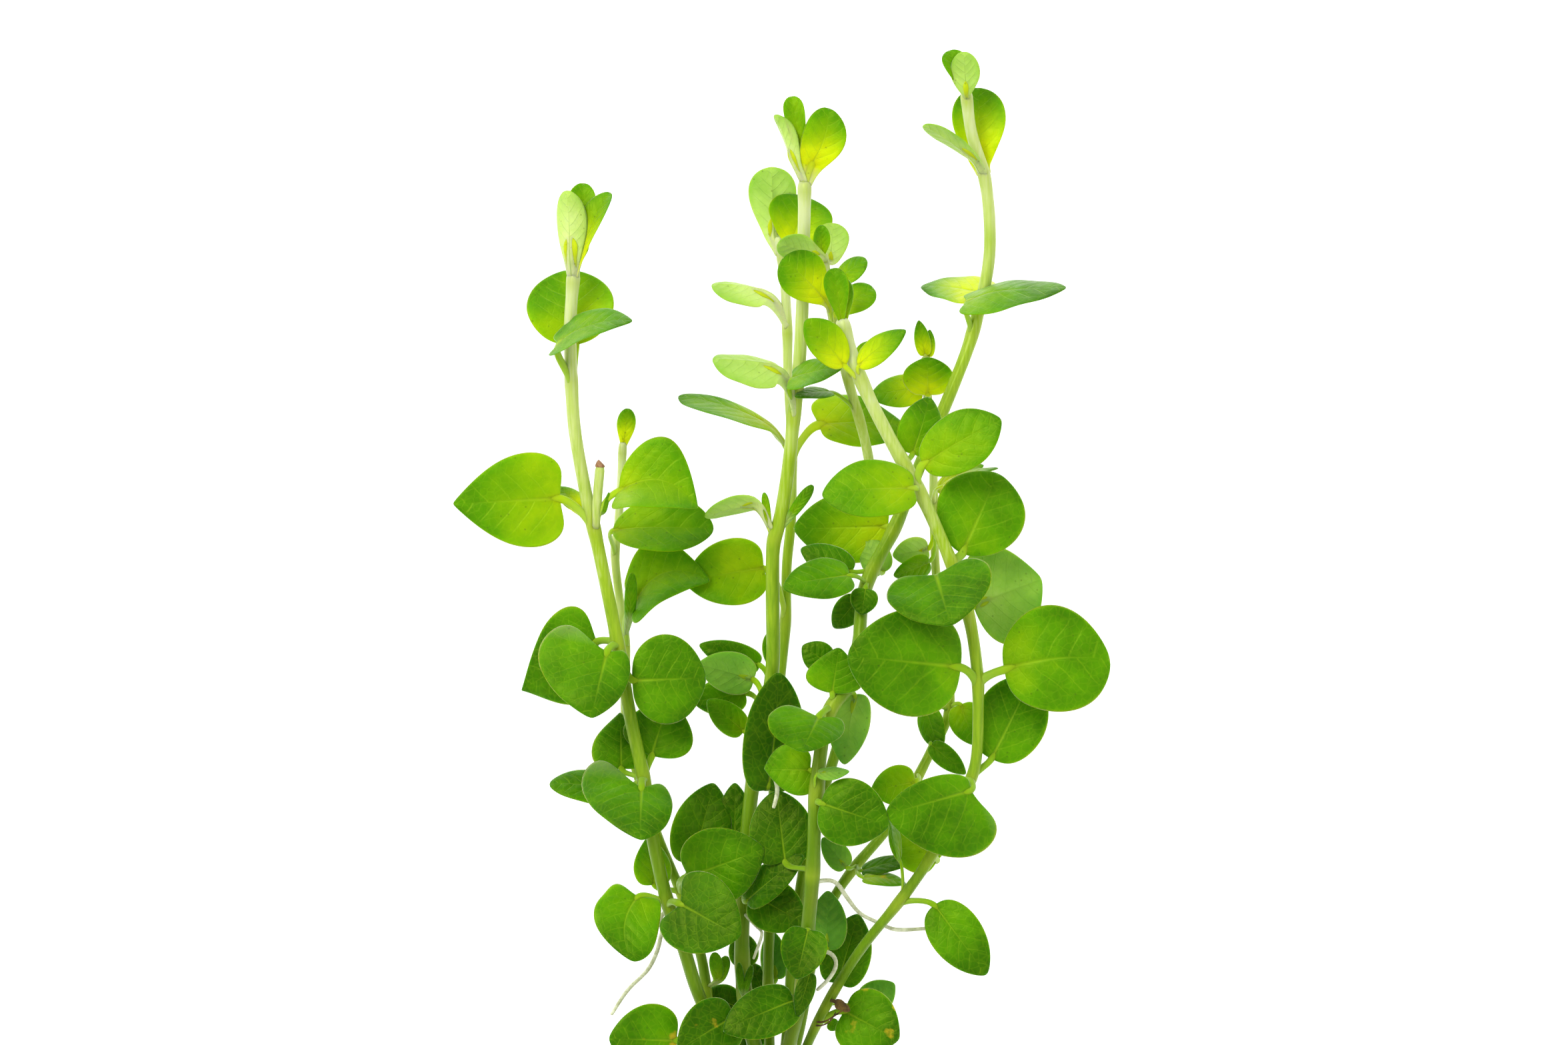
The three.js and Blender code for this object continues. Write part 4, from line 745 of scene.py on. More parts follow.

# Young and small leaves and buds, fused to their shoots
# A paler tone in these rows is partly painted light, for a leaf that shows a sheen or highlight
SMALL_LEAVES = [
    Leaf("a", 114.5, (-34.2, 118.5, 35.6), (-34.8, 128.1, 35.8), 5.6, roll=160, cup=0.22, belly=0,
        wedge=1, stalk=2.6, tone=-0.05),
    Leaf("a", 114.5, (-33, 118, 34.8), (-28.2, 127.8, 35), 5, roll=-42, cup=0.22, belly=0.4, wedge=1,
        stalk=2.4),
    Leaf("a", 115, (-33.4, 118.5, 33.4), (-32.3, 129.3, 32.8), 5, cup=0.2, belly=0.7, wedge=1,
        tone=0.4),
    Leaf("a", 77.3, (-32.4, 80.4, 31), (-36.8, 83.8, 29), 4.4, roll=40, stalk=1.5, tone=-0.5),
    Leaf("a", 77.8, (-33.4, 80.4, 33.4), (-35.7, 82.4, 33.6), 1.5, wedge=1, tone=-0.5),
    Leaf("a", 39.8, (-26.8, 41.4, 25.6), (-27, 50, 23.4), 9.6, belly=-0.35, pointed=0.7, tone=-0.2),
    Leaf("a", 39.8, (-27, 38, 26.6), (-37.7, 39.2, 27), 7.6, roll=42, pointed=0, tone=-0.25),
    Leaf("b", 88.6, (-26.5, 90.6, 14), (-25.9, 95.7, 14), 3.3, belly=0.1, wedge=1, tone=-0.5),
    Leaf("b", 59.8, (-25.6, 65, 18.6), (-25.2, 71, 20.4), 2.2, belly=0.4, wedge=1, tone=0.2),
    Leaf("b", 22.5, (-22, 23.8, 18.4), (-22.8, 31.4, 17), 7, roll=25, belly=-0.3, pointed=0.6,
        tone=-0.3),
    Leaf("c", 129.2, (0, 134.5, 28.6), (-1.3, 142.4, 28.6), 3.7, cup=0.2, belly=1.1, wedge=1,
        tone=0.4),
    Leaf("c", 128.9, (-0.9, 132.5, 28.4), (-3.8, 139.6, 29), 4.4, roll=125, cup=0.2, belly=0.3, wedge=1,
        stalk=2.2, tone=0.1),
    Leaf("c", 128.4, (1.7, 132, 28.6), (4.3, 140.6, 29.2), 7.6, cup=0.1, sweep=-0.08, belly=-0.1,
        wedge=1, stalk=2.2),
    Leaf("c", 75.6, (-4.8, 79, 28.2), (-5.4, 83, 28.4), 1.4, belly=0.5, wedge=1, tone=-0.2),
    Leaf("c", 75.6, (-1, 80, 28), (2, 84.1, 28), 2.1, belly=0.5, wedge=1),
    Leaf("c", 75.6, (-7, 81.2, 28), (-14.4, 79.4, 30), 5.4, roll=128, cup=0.05, wedge=0.8, stalk=2,
        tone=-0.45),
    Leaf("c", 49, (-6, 57, 15), (-15.3, 60, 15), 5, tone=-0.2),
    Leaf("c", 49, (-6.9, 54.8, 21.8), (-15.4, 57.2, 22.6), 7.4, roll=168, tone=-0.3),
    Leaf("c", 49, (-8.2, 52.8, 17.6), (-16.2, 51.4, 17.4), 6.8, tone=-0.4),
    Leaf("c", 46, (-8.4, 47, 21), (-14, 51.8, 22), 5.2, tone=-0.4),
    Leaf("c", 40, (-3, 45, 24), (-3.7, 56, 27), 5.8),
    Leaf("c", 28, (-9.8, 31, 18), (-9.8, 39.3, 17), 5.5),
    Leaf("c", 21.8, (-8.1, 21.5, 24.4), (0.7, 28.6, 27.6), 6.2, roll=-20, cup=0.08),
    Leaf("c", 12, (-8.2, 11.6, 17), (-8.9, 16.8, 15), 5.2),
    Leaf("d", 62.5, (-3.8, 61.8, 11), (-4, 56, 10), 4.2),
    Leaf("e", 117, (3, 118.2, 29), (-3.4, 120.2, 31), 6.4, roll=140, wedge=0.8, stalk=2, tone=-0.35),
    Leaf("e", 117, (4.5, 117.3, 25), (5, 123.5, 23), 6, roll=180, belly=0.6, wedge=1, tone=-0.35),
    Leaf("e", 118, (3.3, 118.6, 29), (3.2, 123, 30), 3, cup=0.4, wedge=1, tone=0.3),
    Leaf("e", 110, (4.8, 113.8, 27), (10.1, 117.8, 28), 5, roll=-40, wedge=0.4, tone=0.2),
    Leaf("e", 107, (5.4, 109.6, 30), (11.1, 113.6, 29), 5.8, roll=-30, belly=0.3, wedge=0.6, tone=0.1),
    Leaf("e", 99.5, (8.8, 102.8, 29), (11.4, 105.5, 28), 3.4),
    Leaf("e", 94.4, (4.6, 98, 27.5), (-0.8, 97.1, 30.5), 5.5, roll=65, stalk=1.6, tone=0.3),
    Leaf("f", 107, (6.2, 108.4, 35.4), (5, 116.5, 36), 4.4, cup=0.25, belly=0.6, wedge=1,
        tone=0.45),
    Leaf("f", 107, (6.6, 108.4, 34.4), (6.6, 115, 33.8), 3.2, belly=0.3, wedge=1, tone=0.3),
    Leaf("f", 98.7, (6.7, 101.7, 36.4), (0.7, 108.7, 38), 6.8, roll=16, cup=0.14, lobe=0.04, belly=0.1),
    Leaf("f", 98.7, (8.6, 101.7, 36.4), (15.9, 107.1, 38), 5.2, roll=-32, lobe=0.04),
    Leaf("f", 86.8, (16.8, 88.6, 32.8), (19.4, 97.3, 31), 7.8, roll=10, tone=0.3),
    Leaf("f", 28.4, (20.6, 27.6, 26.5), (13.4, 33, 24), 8.6, tone=-0.5),
    Leaf("f", 21.9, (15, 28, 29), (13.2, 33.8, 31), 6, roll=75, tone=-0.4),
    Leaf("f", 6, (9.5, 5.5, 17), (14.3, 9, 16), 6, roll=170, tone=-0.25),
    Leaf("g", 103, (18.9, 103.6, 12.6), (17.9, 109, 12.8), 2.8),
    Leaf("g", 103, (19.4, 103.4, 12), (19.6, 107.6, 12), 2.2),
    Leaf("g", 97.4, (18.5, 98.5, 12), (10.5, 97.5, 11), 6.5, roll=30),
    Leaf("g", 97.4, (19.3, 97.6, 14.6), (19.3, 103.4, 16.6), 8.8, belly=0.1),
    Leaf("g", 81, (20.7, 83.5, 16), (27.8, 87, 18), 5.5, roll=-55, tone=-0.2),
    Leaf("g", 81, (21.5, 84, 20), (30, 86.5, 21), 6, roll=-78, tone=-0.5),
    Leaf("g", 79.5, (19.4, 74.4, 14.6), (13.9, 73.4, 15), 5, roll=178, tone=-0.2),
    Leaf("g", 79, (19.6, 72.4, 17), (14, 70.4, 18), 4.8, roll=-28, tone=0.1),
    Leaf("g", 50.4, (24.2, 51, 15.5), (26.4, 44.8, 17), 6, tone=-0.25),
    Leaf("g", 49.8, (19, 50.4, 17), (21.3, 43.9, 18), 5, roll=25),
    Leaf("g", 44.6, (19.7, 45, 19), (25, 40.5, 20), 3.8, tone=0.1),
    Leaf("g", 40, (17.4, 39.4, 19), (10.6, 38, 20), 7, tone=-0.38),
    Leaf("g", 26.4, (9.3, 26, 19), (17.3, 27.5, 20), 4.5, roll=-50),
    Leaf("g", 26.2, (9.5, 25, 21), (16, 24, 22), 5, roll=-60, tone=-0.55, wear=0.4),
    Leaf("g", 26.4, (7, 26.5, 19), (3.3, 31, 18), 4.5, roll=170, tone=-0.4),
    Leaf("h", 142, (24.8, 143.2, 18.6), (22.4, 149.56, 17.8), 4.2, roll=10, cup=0.2, belly=0.8, wedge=1,
        tone=0.35),
    Leaf("h", 142, (25, 143, 19.6), (24.6, 149.3, 20), 5.2, roll=175, cup=0.1, belly=-0.3, wedge=1,
        tone=0.1),
    Leaf("h", 130.5, (26, 133.4, 19.4), (18.4, 138.2, 21.4), 5.2, roll=118, belly=0.3, wedge=1,
        stalk=2.2),
    Leaf("h", 71, (12.5, 70.8, 22), (9.5, 76.3, 20), 5.6, roll=170, tone=-0.35),
    Leaf("h", 71, (7.8, 71, 26), (0, 74.5, 25), 6, roll=20),
    Leaf("h", 69.2, (9.8, 68.5, 29), (9.2, 64.5, 30), 4.8),
    Leaf("h", 69, (8.8, 67, 24), (5, 62.5, 22), 5),
    Leaf("h", 51.4, (4.4, 57.2, 30), (0.3, 60, 30), 5.4, tone=-0.1),
    Leaf("h", 51.2, (4.8, 52.8, 33.5), (5.8, 59.8, 34), 9, lobe=0, belly=-0.5, pointed=0, tone=-0.35),
    Leaf("h", 50.8, (8.2, 52.8, 29), (6.6, 42, 28), 7.6, roll=160, tone=-0.3),
    Leaf("h", 37, (2.6, 41, 37), (7.4, 41.3, 38), 3.4, roll=130, tone=-0.35),
    Leaf("h", 13, (4, 14.2, 24), (4.2, 23.2, 22), 6.8, roll=170, tone=0.15),
    Leaf("h", 9, (1.5, 11, 29), (-0.4, 4.3, 29), 3.4),
    Leaf("a", 79, (-29.2, 80, 34.2), (-28.5, 83, 34.8), 0.8, wedge=1, tone=0.1),
    Leaf("f", 3, (4.3, 3.2, 19.4), (5.9, 2.3, 19), 2.3, tone=-0.4),
    Leaf("f", 6.4, (5.3, 6.5, 24.4), (7.9, 5.3, 25.4), 1.9, roll=20, cup=0.2, curl=0.3, wave=0.2,
        dead=True),
    Leaf("b", 8, (-12.3, 9.8, 19.6), (-12.9, 13.9, 20.6), 2.4, belly=0.5, wedge=1, tone=-0.4),
    Leaf("b", 8, (-12, 9.8, 19.4), (-11, 13.3, 19.6), 2.2, belly=0.5, wedge=1, tone=-0.4),
    Leaf("c", 5.5, (-8.8, 8.4, 21), (-9.2, 12.4, 21.6), 1.4, belly=0.5, wedge=1, tone=-0.2),
    Leaf("c", 5.5, (-8.2, 8.4, 21), (-7.2, 12, 21.4), 1.4, belly=0.5, wedge=1, tone=-0.2),
    Leaf("c", 4.5, (-9.4, 5.4, 15.6), (-14.6, 7.4, 14.4), 6, tone=0.05),
    Leaf("d", 3, (-5.6, 2.4, 11), (-11, -0.6, 10), 6.5, tone=0.08),
    Leaf("d", 8, (-3.6, 9.4, 12), (-4.4, 17, 11), 4.8, roll=175, tone=-0.1),
    Leaf("d", 5, (-4.6, 5.4, 10.6), (-7.6, 12, 9.4), 5.2, tone=0.1),
]


# Roots, stub, crown


@dataclass
class Root:
    """A thin root on a shoot, alive or dead, with its middle line and its half width at both ends."""

    stem: str
    route: list[Triple]
    radius: tuple[float, float] = (0.43, 0.33)
    skin: Skin = Skin.ROOT

    def grow(self, sculpt: Sculpt) -> None:
        """Add the root to a mesh.

        Args:
            sculpt: The mesh.
        """
        start, end = self.radius
        route = [Vector(point) for point in self.route]
        length = sum((b - a).length for a, b in zip(route, route[1:]))
        rings = max(int(length / ROOT_STEP), FEWEST_RINGS)
        radii = []
        for ring in range(rings):
            sway = ROOT_SWAY * noise.noise(Vector((ring * ROOT_SWAY_PITCH, route[0].x, route[0].y)))
            radii.append((start + (end - start) * ring / (rings - 1)) * (1 + sway))

        def run(share: float, around: float) -> tuple[Triple, float]:
            """Give an age that grows towards the tip of the root."""
            return (share * length, around, share), share

        sculpt.tube(route, radii, radii, UPWARDS, self.skin, run, ROOT_SIDES, rings + 1)


@dataclass
class Stub:
    """The old stem above a joint: cut square, and dried brown at its end."""

    stem: str = "a"
    foot: Triple = (-30.7, 77.3, 33.4)
    top: Triple = (-29.8, 87.2, 34.6)
    radius: float = 0.8
    waist: Triple = (1.0, 0.93, 0.96)  # shares of the radius at the foot, the middle and the neck
    dried: float = 0.35  # length of the dried end
    tucked: float = 0.2  # how far the dried end reaches back into the stub
    lean: Triple = (0.25, 0.1, 0)  # by which its cut face hangs over
    shrunk: tuple[float, float] = (1.02, 0.9)  # its width and thickness, as shares of the stub's
    age: float = 0.16
    rows: tuple[int, int] = (9, 6)  # of the stub and of its dried end

    def grow(self, sculpt: Sculpt) -> None:
        """Add the stub and its dried end to a mesh.

        Args:
            sculpt: The mesh.
        """
        foot, top = Vector(self.foot), Vector(self.top)
        length = (top - foot).length
        along = (top - foot) / length

        def run(share: float, around: float) -> tuple[Triple, float]:
            """Colour the stub like a young stem."""
            return (share * length, around, 0.0), self.age

        neck = top - along * self.dried
        lip = top + Vector(self.lean)
        radii = [self.radius * k for k in self.waist]
        widths, depths = ([radius * k for radius in radii] for k in self.shrunk)
        sculpt.tube([foot, foot.lerp(neck, 0.5), neck], radii, radii, SIDEWAYS, Skin.STEM, run, STEM_SIDES,
                    self.rows[0])
        sculpt.tube([neck - along * self.tucked, neck.lerp(top, 0.5), lip], widths, depths, SIDEWAYS,
                    Skin.CUT, run, STEM_SIDES, self.rows[1])


@dataclass
class Crown:
    """The short knuckled lump of old stem that the shoots grow from."""

    centre: Triple = (-4, -9.6, 15)
    radii: Triple = (5.4, 4.4, 6.3)
    body: float = 0.9  # its size between the knuckles, as a share of the radii
    knuckle: float = 0.13  # the least height of a knuckle, as a share of the radii
    knuckle_spread: float = 0.32
    overlap: float = 0.06  # how far the foot of a shoot is sunk in its knuckle
    grain: float = 0.09  # height of the bark's lumps, as a share of the radii
    lumps: float = 2.6  # how close they are

    def grow(self, sculpt: Sculpt) -> None:
        """Add the crown to an empty mesh, with a knuckle round the foot of each shoot.

        Args:
            sculpt: The mesh.
        """
        made = bmesh.ops.create_icosphere(sculpt.mesh, subdivisions=5, radius=1)["verts"]
        index = sculpt.slot(Skin.CROWN)
        for face in sculpt.mesh.faces:
            face.material_index = index
            face.smooth = True
        centre = Vector(self.centre)
        feet = []
        for shoot in SHOOTS.values():
            reach = shoot.points()[-1] - centre
            reach = Vector([reach[i] / self.radii[i] for i in range(3)])
            feet.append((reach.normalized(), max(self.knuckle, reach.length + self.overlap - self.body)))
        for point in made:
            direction = point.co.normalized()
            swell = max(height * math.exp(-((direction - foot).length / self.knuckle_spread) ** 2)
                        for foot, height in feet)
            rough = noise.fractal(direction * self.lumps, 1.0, 2.0, 4)
            size = self.body + swell + self.grain * rough
            point.co = centre + Vector([direction[i] * self.radii[i] * size for i in range(3)]) - ORIGIN
            point.co *= MILLIMETRE


ROOTS = [
    Root("b", [(-17.4, 21.4, 16), (-20.8, 19.3, 17), (-22.2, 14.8, 18), (-23.5, 13.8, 18),
               (-24.5, 13.1, 18)]),
    Root("b", [(-17, 20.2, 15.8), (-20.3, 17.8, 15), (-21.5, 13.8, 14), (-23, 10.8, 13), (-26, 7.8, 12),
               (-28.5, 4, 11)]),
    Root("h", [(1.6, 24.6, 32.6), (5, 24.8, 31), (7, 22.3, 29), (9, 19.8, 27), (12, 18.3, 26),
               (14.5, 17.3, 25), (19.5, 17.5, 24)]),
    Root("h", [(0.4, 12, 28), (3.5, 14.3, 29), (5.5, 12.8, 29.5), (4.6, 10.4, 29), (2.5, 8.3, 28)],
         (0.44, 0.32)),
    Root("c", [(-8.3, 19.5, 20.5), (-6.2, 17.4, 22), (-5.6, 16.8, 22.4), (-7, 12.8, 22.6)], (0.34, 0.26)),
    Root("c", [(-5.4, 41.5, 22.4), (-3.8, 40.2, 26), (-3.4, 38, 28), (-4, 35.6, 28.6)], (0.5, 0.36)),
    Root("e", [(-2.2, 1.4, 18), (-1.8, -1.2, 20), (-2.2, -5, 21)], (0.42, 0.3)),
    Root("c", [(-0.8, 4.4, 19), (0, 4.8, 22), (-0.6, 1.2, 23), (-1, -3, 22.4)], (0.4, 0.28)),
    Root("f", [(2.4, 3.4, 21.6), (3.6, 3.4, 23.4), (5.2, 4.4, 24.4), (7, 5.6, 25)], (0.2, 0.12),
         Skin.HUSK),
    Root("f", [(2.2, 2.8, 21.4), (3.4, 2.9, 23.2), (4.6, 3.6, 24), (5.4, 5, 24.6)], (0.16, 0.1),
         Skin.HUSK),
]
STUB = Stub()


# Finishes


def linear(colour: str) -> tuple[float, float, float, float]:
    """Turn an sRGB colour into a linear one.

    Args:
        colour: The colour as six hex digits after a hash sign.

    Returns:
        Its linear red, green, blue and alpha.
    """
    parts = [int(colour[i:i + 2], 16) / 255 for i in (1, 3, 5)]
    return (*[c / 12.92 if c <= 0.04045 else ((c + 0.055) / 1.055) ** 2.4 for c in parts], 1.0)


class Graph:
    """The nodes of one material."""

    def __init__(self, name: str) -> None:
        """Start a material that has only its shader and its output.

        Args:
            name: The material's name.
        """
        self.material = bpy.data.materials.new(name)
        self.material.use_nodes = True
        self.tree = self.material.node_tree
        self.shader = next(node for node in self.tree.nodes if node.type == "BSDF_PRINCIPLED")

    def add(self, kind: str, inputs: dict | Sequence = (), output: int | str = 0,
            **settings: object) -> bpy.types.NodeSocket:
        """Add a node.

        Args:
            kind: Its type, without the leading ShaderNode.
            inputs: A value or a socket to link for each of its inputs, by their keys or in their order.
            output: Which output to return.
            **settings: Its other settings. Stops are the places and colours of a ramp.

        Returns:
            The output.
        """
        node = self.tree.nodes.new("ShaderNode" + kind)
        stops = settings.pop("stops", None)
        for name, value in settings.items():
            setattr(node, name, value)
        pairs = inputs.items() if isinstance(inputs, dict) else enumerate(inputs)
        for key, value in pairs:
            self.join(node.inputs[key], value)
        if stops:
            elements = node.color_ramp.elements
            for _ in stops[2:]:
                elements.new(0.5)
            for element, (place, colour) in zip(elements, stops):
                element.position, element.color = place, linear(colour)
        return node.outputs[output]

    def join(self, socket: bpy.types.NodeSocket, value: object) -> None:
        """Link a socket to an output, or set its value.

        Args:
            socket: The socket.
            value: The output or the value.
        """
        if isinstance(value, bpy.types.NodeSocket):
            self.tree.links.new(value, socket)
        else:
            socket.default_value = value

    def shade(self, **values: object) -> bpy.types.Material:
        """Set the shader's inputs.

        Args:
            **values: A value or an output for each of them, with underscores for spaces in its name.

        Returns:
            The material.
        """
        for name, value in values.items():
            self.join(self.shader.inputs[name.replace("_", " ")], value)
        return self.material


def every(size: float) -> float:
    """Return the texture scale of a pattern that repeats every so many millimetres."""
    return 1 / (size * MILLIMETRE)


SMOOTH = {"interpolation_type": "SMOOTHSTEP"}
LOWER, HIGHER, BLENDED = 6, 7, 2  # the colour inputs and the colour output of a Mix node
FRESH_IOR = 1.42  # of wet plant tissue


@dataclass(frozen=True)
class LeafFinish:
    """Fresh leaf: thin translucent tissue under a waxy cuticle, so it glows and keeps a soft sheen."""

    name: str
    places: tuple[float, ...]
    greens: tuple[str, ...]
    stalk: str
    vein: str
    vein_strength: float
    gradient: float
    roughness: float
    relief: float
    gland: str = "#2C3A10"
    yellowed: str = "#C9A628"
    browned: str = "#7A4A18"

    def material(self) -> bpy.types.Material:
        """Build the material."""
        graph = Graph(self.name)
        place = graph.add("TexCoord", output="Object")
        run = graph.add("Attribute", output="Vector", attribute_name="run")
        along, across, edge = (graph.add("SeparateXYZ", [run], axis) for axis in "XYZ")
        age, wear = (graph.add("Attribute", output="Fac", attribute_name=name) for name in ("age", "wear"))
        aside = graph.add("Math", [across], operation="ABSOLUTE")
        # Clouds 12 mm across, mottling of 5 mm and grain of 0.9 mm
        cloud = graph.add("TexNoise", {"Vector": place, "Scale": every(12), "Detail": 1.0})
        mottle = graph.add("TexNoise", {"Vector": place, "Scale": every(5), "Detail": 3.0})
        grain = graph.add("TexNoise", {"Vector": place, "Scale": every(0.9), "Detail": 2.0})
        # Midrib, about 0.4 mm wide at the stalk
        slim = graph.add("MapRange", [along, 0.0, 1.0, 0.06, 0.012])
        rib = graph.add("MapRange", [aside, 0.0, slim, 1.0, 0.0], **SMOOTH)
        fading = graph.add("MapRange", [along, 0.05, 0.95, 0.8, 0.0])
        rib = graph.add("Math", [rib, fading], operation="MULTIPLY")
        # Side veins, about five on each half, that curve towards the tip and sway by clouds of 8 mm
        slant = graph.add("Math", [aside, 1.25], operation="POWER")
        slant = graph.add("Math", [slant, -0.42, along], operation="MULTIPLY_ADD")
        sway = graph.add("TexNoise", {"Vector": place, "Scale": every(8), "Detail": 1.0})
        slant = graph.add("Math", [sway, 0.2, slant], operation="MULTIPLY_ADD")
        half = graph.add("Math", [across], operation="SIGN")
        slant = graph.add("Math", [half, 0.03, slant], operation="MULTIPLY_ADD")
        wave = graph.add("Math", [slant, 5.2], operation="MULTIPLY")
        wave = graph.add("Math", [wave, 0.5], operation="PINGPONG")
        vein = graph.add("MapRange", [wave, 0.0, 0.075, 1.0, 0.0], **SMOOTH)
        inner = graph.add("MapRange", [edge, 0.45, 0.92, 1.0, 0.0], **SMOOTH)
        vein = graph.add("Math", [vein, inner], operation="MULTIPLY")
        starts = graph.add("MapRange", [along, 0.0, 0.1, 0.0, 1.0])
        vein = graph.add("Math", [vein, starts], operation="MULTIPLY")
        # Net of the finest veins, 1.1 mm
        net = graph.add("TexVoronoi", {"Vector": place, "Scale": every(1.1)}, feature="DISTANCE_TO_EDGE")
        net = graph.add("MapRange", [net, 0.0, 0.12, 1.0, 0.0])
        # All veins together, the side veins clearer on young leaves
        clear = graph.add("MapRange", [age, 0.3, 1.0, 0.34, 0.14])
        lines = graph.add("Math", [vein, clear], operation="MULTIPLY")
        lines = graph.add("Math", [net, 0.12, lines], operation="MULTIPLY_ADD")
        lines = graph.add("Math", [lines, rib], operation="MAXIMUM")
        # Greener with age, towards the margin and the tip, yellow at the foot of the blade. The deepest
        # greens, on the old leaves low in the bunch, are partly painted shade of the dense bunch.
        youth = graph.add("Math", [1.0, age], operation="SUBTRACT")
        rim = graph.add("Math", [edge, 3.0], operation="POWER")
        rim_depth = graph.add("Math", [youth, 0.2, 0.05], operation="MULTIPLY_ADD")
        newness = graph.add("Math", [youth, 3.0], operation="POWER")
        low = graph.add("Math", [newness, -0.33, -0.06], operation="MULTIPLY_ADD")
        high = graph.add("Math", [newness, 0.42, 0.08], operation="MULTIPLY_ADD")
        foot = graph.add("MapRange", [along, -0.1, 1.0, low, high], **SMOOTH)
        green = graph.add("Math", [age, 0.82, -0.335], operation="MULTIPLY_ADD")
        for part, weight in ((cloud, 0.4), (mottle, 0.45), (grain, 0.08), (rim, rim_depth),
                             (foot, self.gradient)):
            green = graph.add("Math", [part, weight, green], operation="MULTIPLY_ADD")
        colour = graph.add("ValToRGB", [green], stops=list(zip(self.places, self.greens)))
        # Over it a pale stalk on young leaves, the veins and a thin pale margin
        stalk = graph.add("MapRange", [along, -0.3, -0.02, 0.8, 0.0])
        stalk = graph.add("Math", [stalk, youth], operation="MULTIPLY")
        tinted = graph.add("Math", [lines, self.vein_strength], operation="MULTIPLY")
        lip = graph.add("MapRange", [edge, 0.96, 1.0, 0.0, 0.16])
        # Dark gland dots about 1.6 mm apart, drawn 0.3 mm wide so that they show
        dots = graph.add("TexVoronoi", {"Vector": place, "Scale": every(1.6)})
        dots = graph.add("MapRange", [dots, 0.06, 0.12, 0.4, 0.0])
        # Damage: yellow patches of 3 mm with brown hearts
        patch = graph.add("TexNoise", {"Vector": place, "Scale": every(3), "Detail": 3.0})
        hurt = graph.add("Math", [wear, 0.42, patch], operation="MULTIPLY_ADD")
        yellow = graph.add("MapRange", [hurt, 0.78, 0.9, 0.0, 0.85])
        brown = graph.add("MapRange", [hurt, 0.94, 1.02, 0.0, 0.9])
        for share, tint in ((stalk, self.stalk), (tinted, self.vein), (lip, self.greens[0]),
                            (dots, self.gland), (yellow, self.yellowed), (brown, self.browned)):
            colour = graph.add("Mix", {"Factor": share, LOWER: colour, HIGHER: linear(tint)}, BLENDED,
                               data_type="RGBA")
        # Relief: veins sunk on the upper face and raised on the underside, the blade puckered between
        pucker = graph.add("MapRange", [wave, 0.0, 0.5, 0.0, 1.0], **SMOOTH)
        pucker = graph.add("Math", [pucker, inner], operation="MULTIPLY")
        height = graph.add("Math", [lines, self.relief], operation="MULTIPLY")
        for part, weight in ((pucker, -0.35 * self.relief), (cloud, 3.0), (grain, 0.25), (mottle, 1.6)):
            height = graph.add("Math", [part, weight, height], operation="MULTIPLY_ADD")
        bump = graph.add("Bump", {"Strength": 0.5, "Distance": 0.0003, "Height": height})
        rough = graph.add("MapRange", [grain, 0.3, 0.7, self.roughness - 0.06, self.roughness + 0.08])
        return graph.shade(Base_Color=colour, Roughness=rough, Normal=bump, IOR=FRESH_IOR,
                           Specular_IOR_Level=0.42, Specular_Tint=(0.8, 1.0, 0.1, 1.0),
                           Subsurface_Weight=0.35, Subsurface_Radius=(0.7, 1.0, 0.1),
                           Subsurface_Scale=0.0012, Sheen_Weight=0.35, Sheen_Roughness=0.3,
                           Sheen_Tint=(0.85, 1.0, 0.6, 1.0))


@dataclass(frozen=True)
class StemFinish:
    """Fleshy stem: watery translucent tissue in a smooth skin with fine lengthwise streaks."""

    name: str
    places: tuple[float, ...]
    greens: tuple[str, ...]
    joint: str
    blush: str

    def material(self) -> bpy.types.Material:
        """Build the material."""
        graph = Graph(self.name)
        place = graph.add("TexCoord", output="Object")
        run = graph.add("Attribute", output="Vector", attribute_name="run")
        near = graph.add("SeparateXYZ", [run], "Z")
        age = graph.add("Attribute", output="Fac", attribute_name="age")
        # Streaks 0.4 mm wide and 6.5 mm long, and clouds of 6 mm
        drawn = graph.add("Mapping", {"Vector": place, "Scale": (every(0.4), every(6.5), every(0.4))})
        fibre = graph.add("TexNoise", {"Vector": drawn, "Scale": 1.0, "Detail": 3.0})
        cloud = graph.add("TexNoise", {"Vector": place, "Scale": every(6), "Detail": 2.0})
        # Darker with age
        tone = graph.add("Math", [cloud, 0.24, age], operation="MULTIPLY_ADD")
        tone = graph.add("Math", [fibre, 0.36, tone], operation="MULTIPLY_ADD")
        tone = graph.add("Math", [tone, 0.3], operation="SUBTRACT")
        colour = graph.add("ValToRGB", [tone], stops=list(zip(self.places, self.greens)))
        # Over it a yellower ring at each joint, and a brown blush on old stem
        knee = graph.add("Math", [near, 0.5], operation="MULTIPLY")
        warm = graph.add("Math", [cloud, age], operation="MULTIPLY")
        warm = graph.add("MapRange", [warm, 0.42, 0.7, 0.0, 0.3])
        for share, tint in ((knee, self.joint), (warm, self.blush)):
            colour = graph.add("Mix", {"Factor": share, LOWER: colour, HIGHER: linear(tint)}, BLENDED,
                               data_type="RGBA")
        bump = graph.add("Bump", {"Strength": 0.3, "Distance": 0.0002, "Height": fibre})
        return graph.shade(Base_Color=colour, Roughness=0.3, Normal=bump, IOR=FRESH_IOR,
                           Specular_IOR_Level=0.5, Specular_Tint=(0.9, 1.0, 0.3, 1.0),
                           Subsurface_Weight=0.5, Subsurface_Radius=(1.0, 1.0, 0.3),
                           Subsurface_Scale=0.0016)


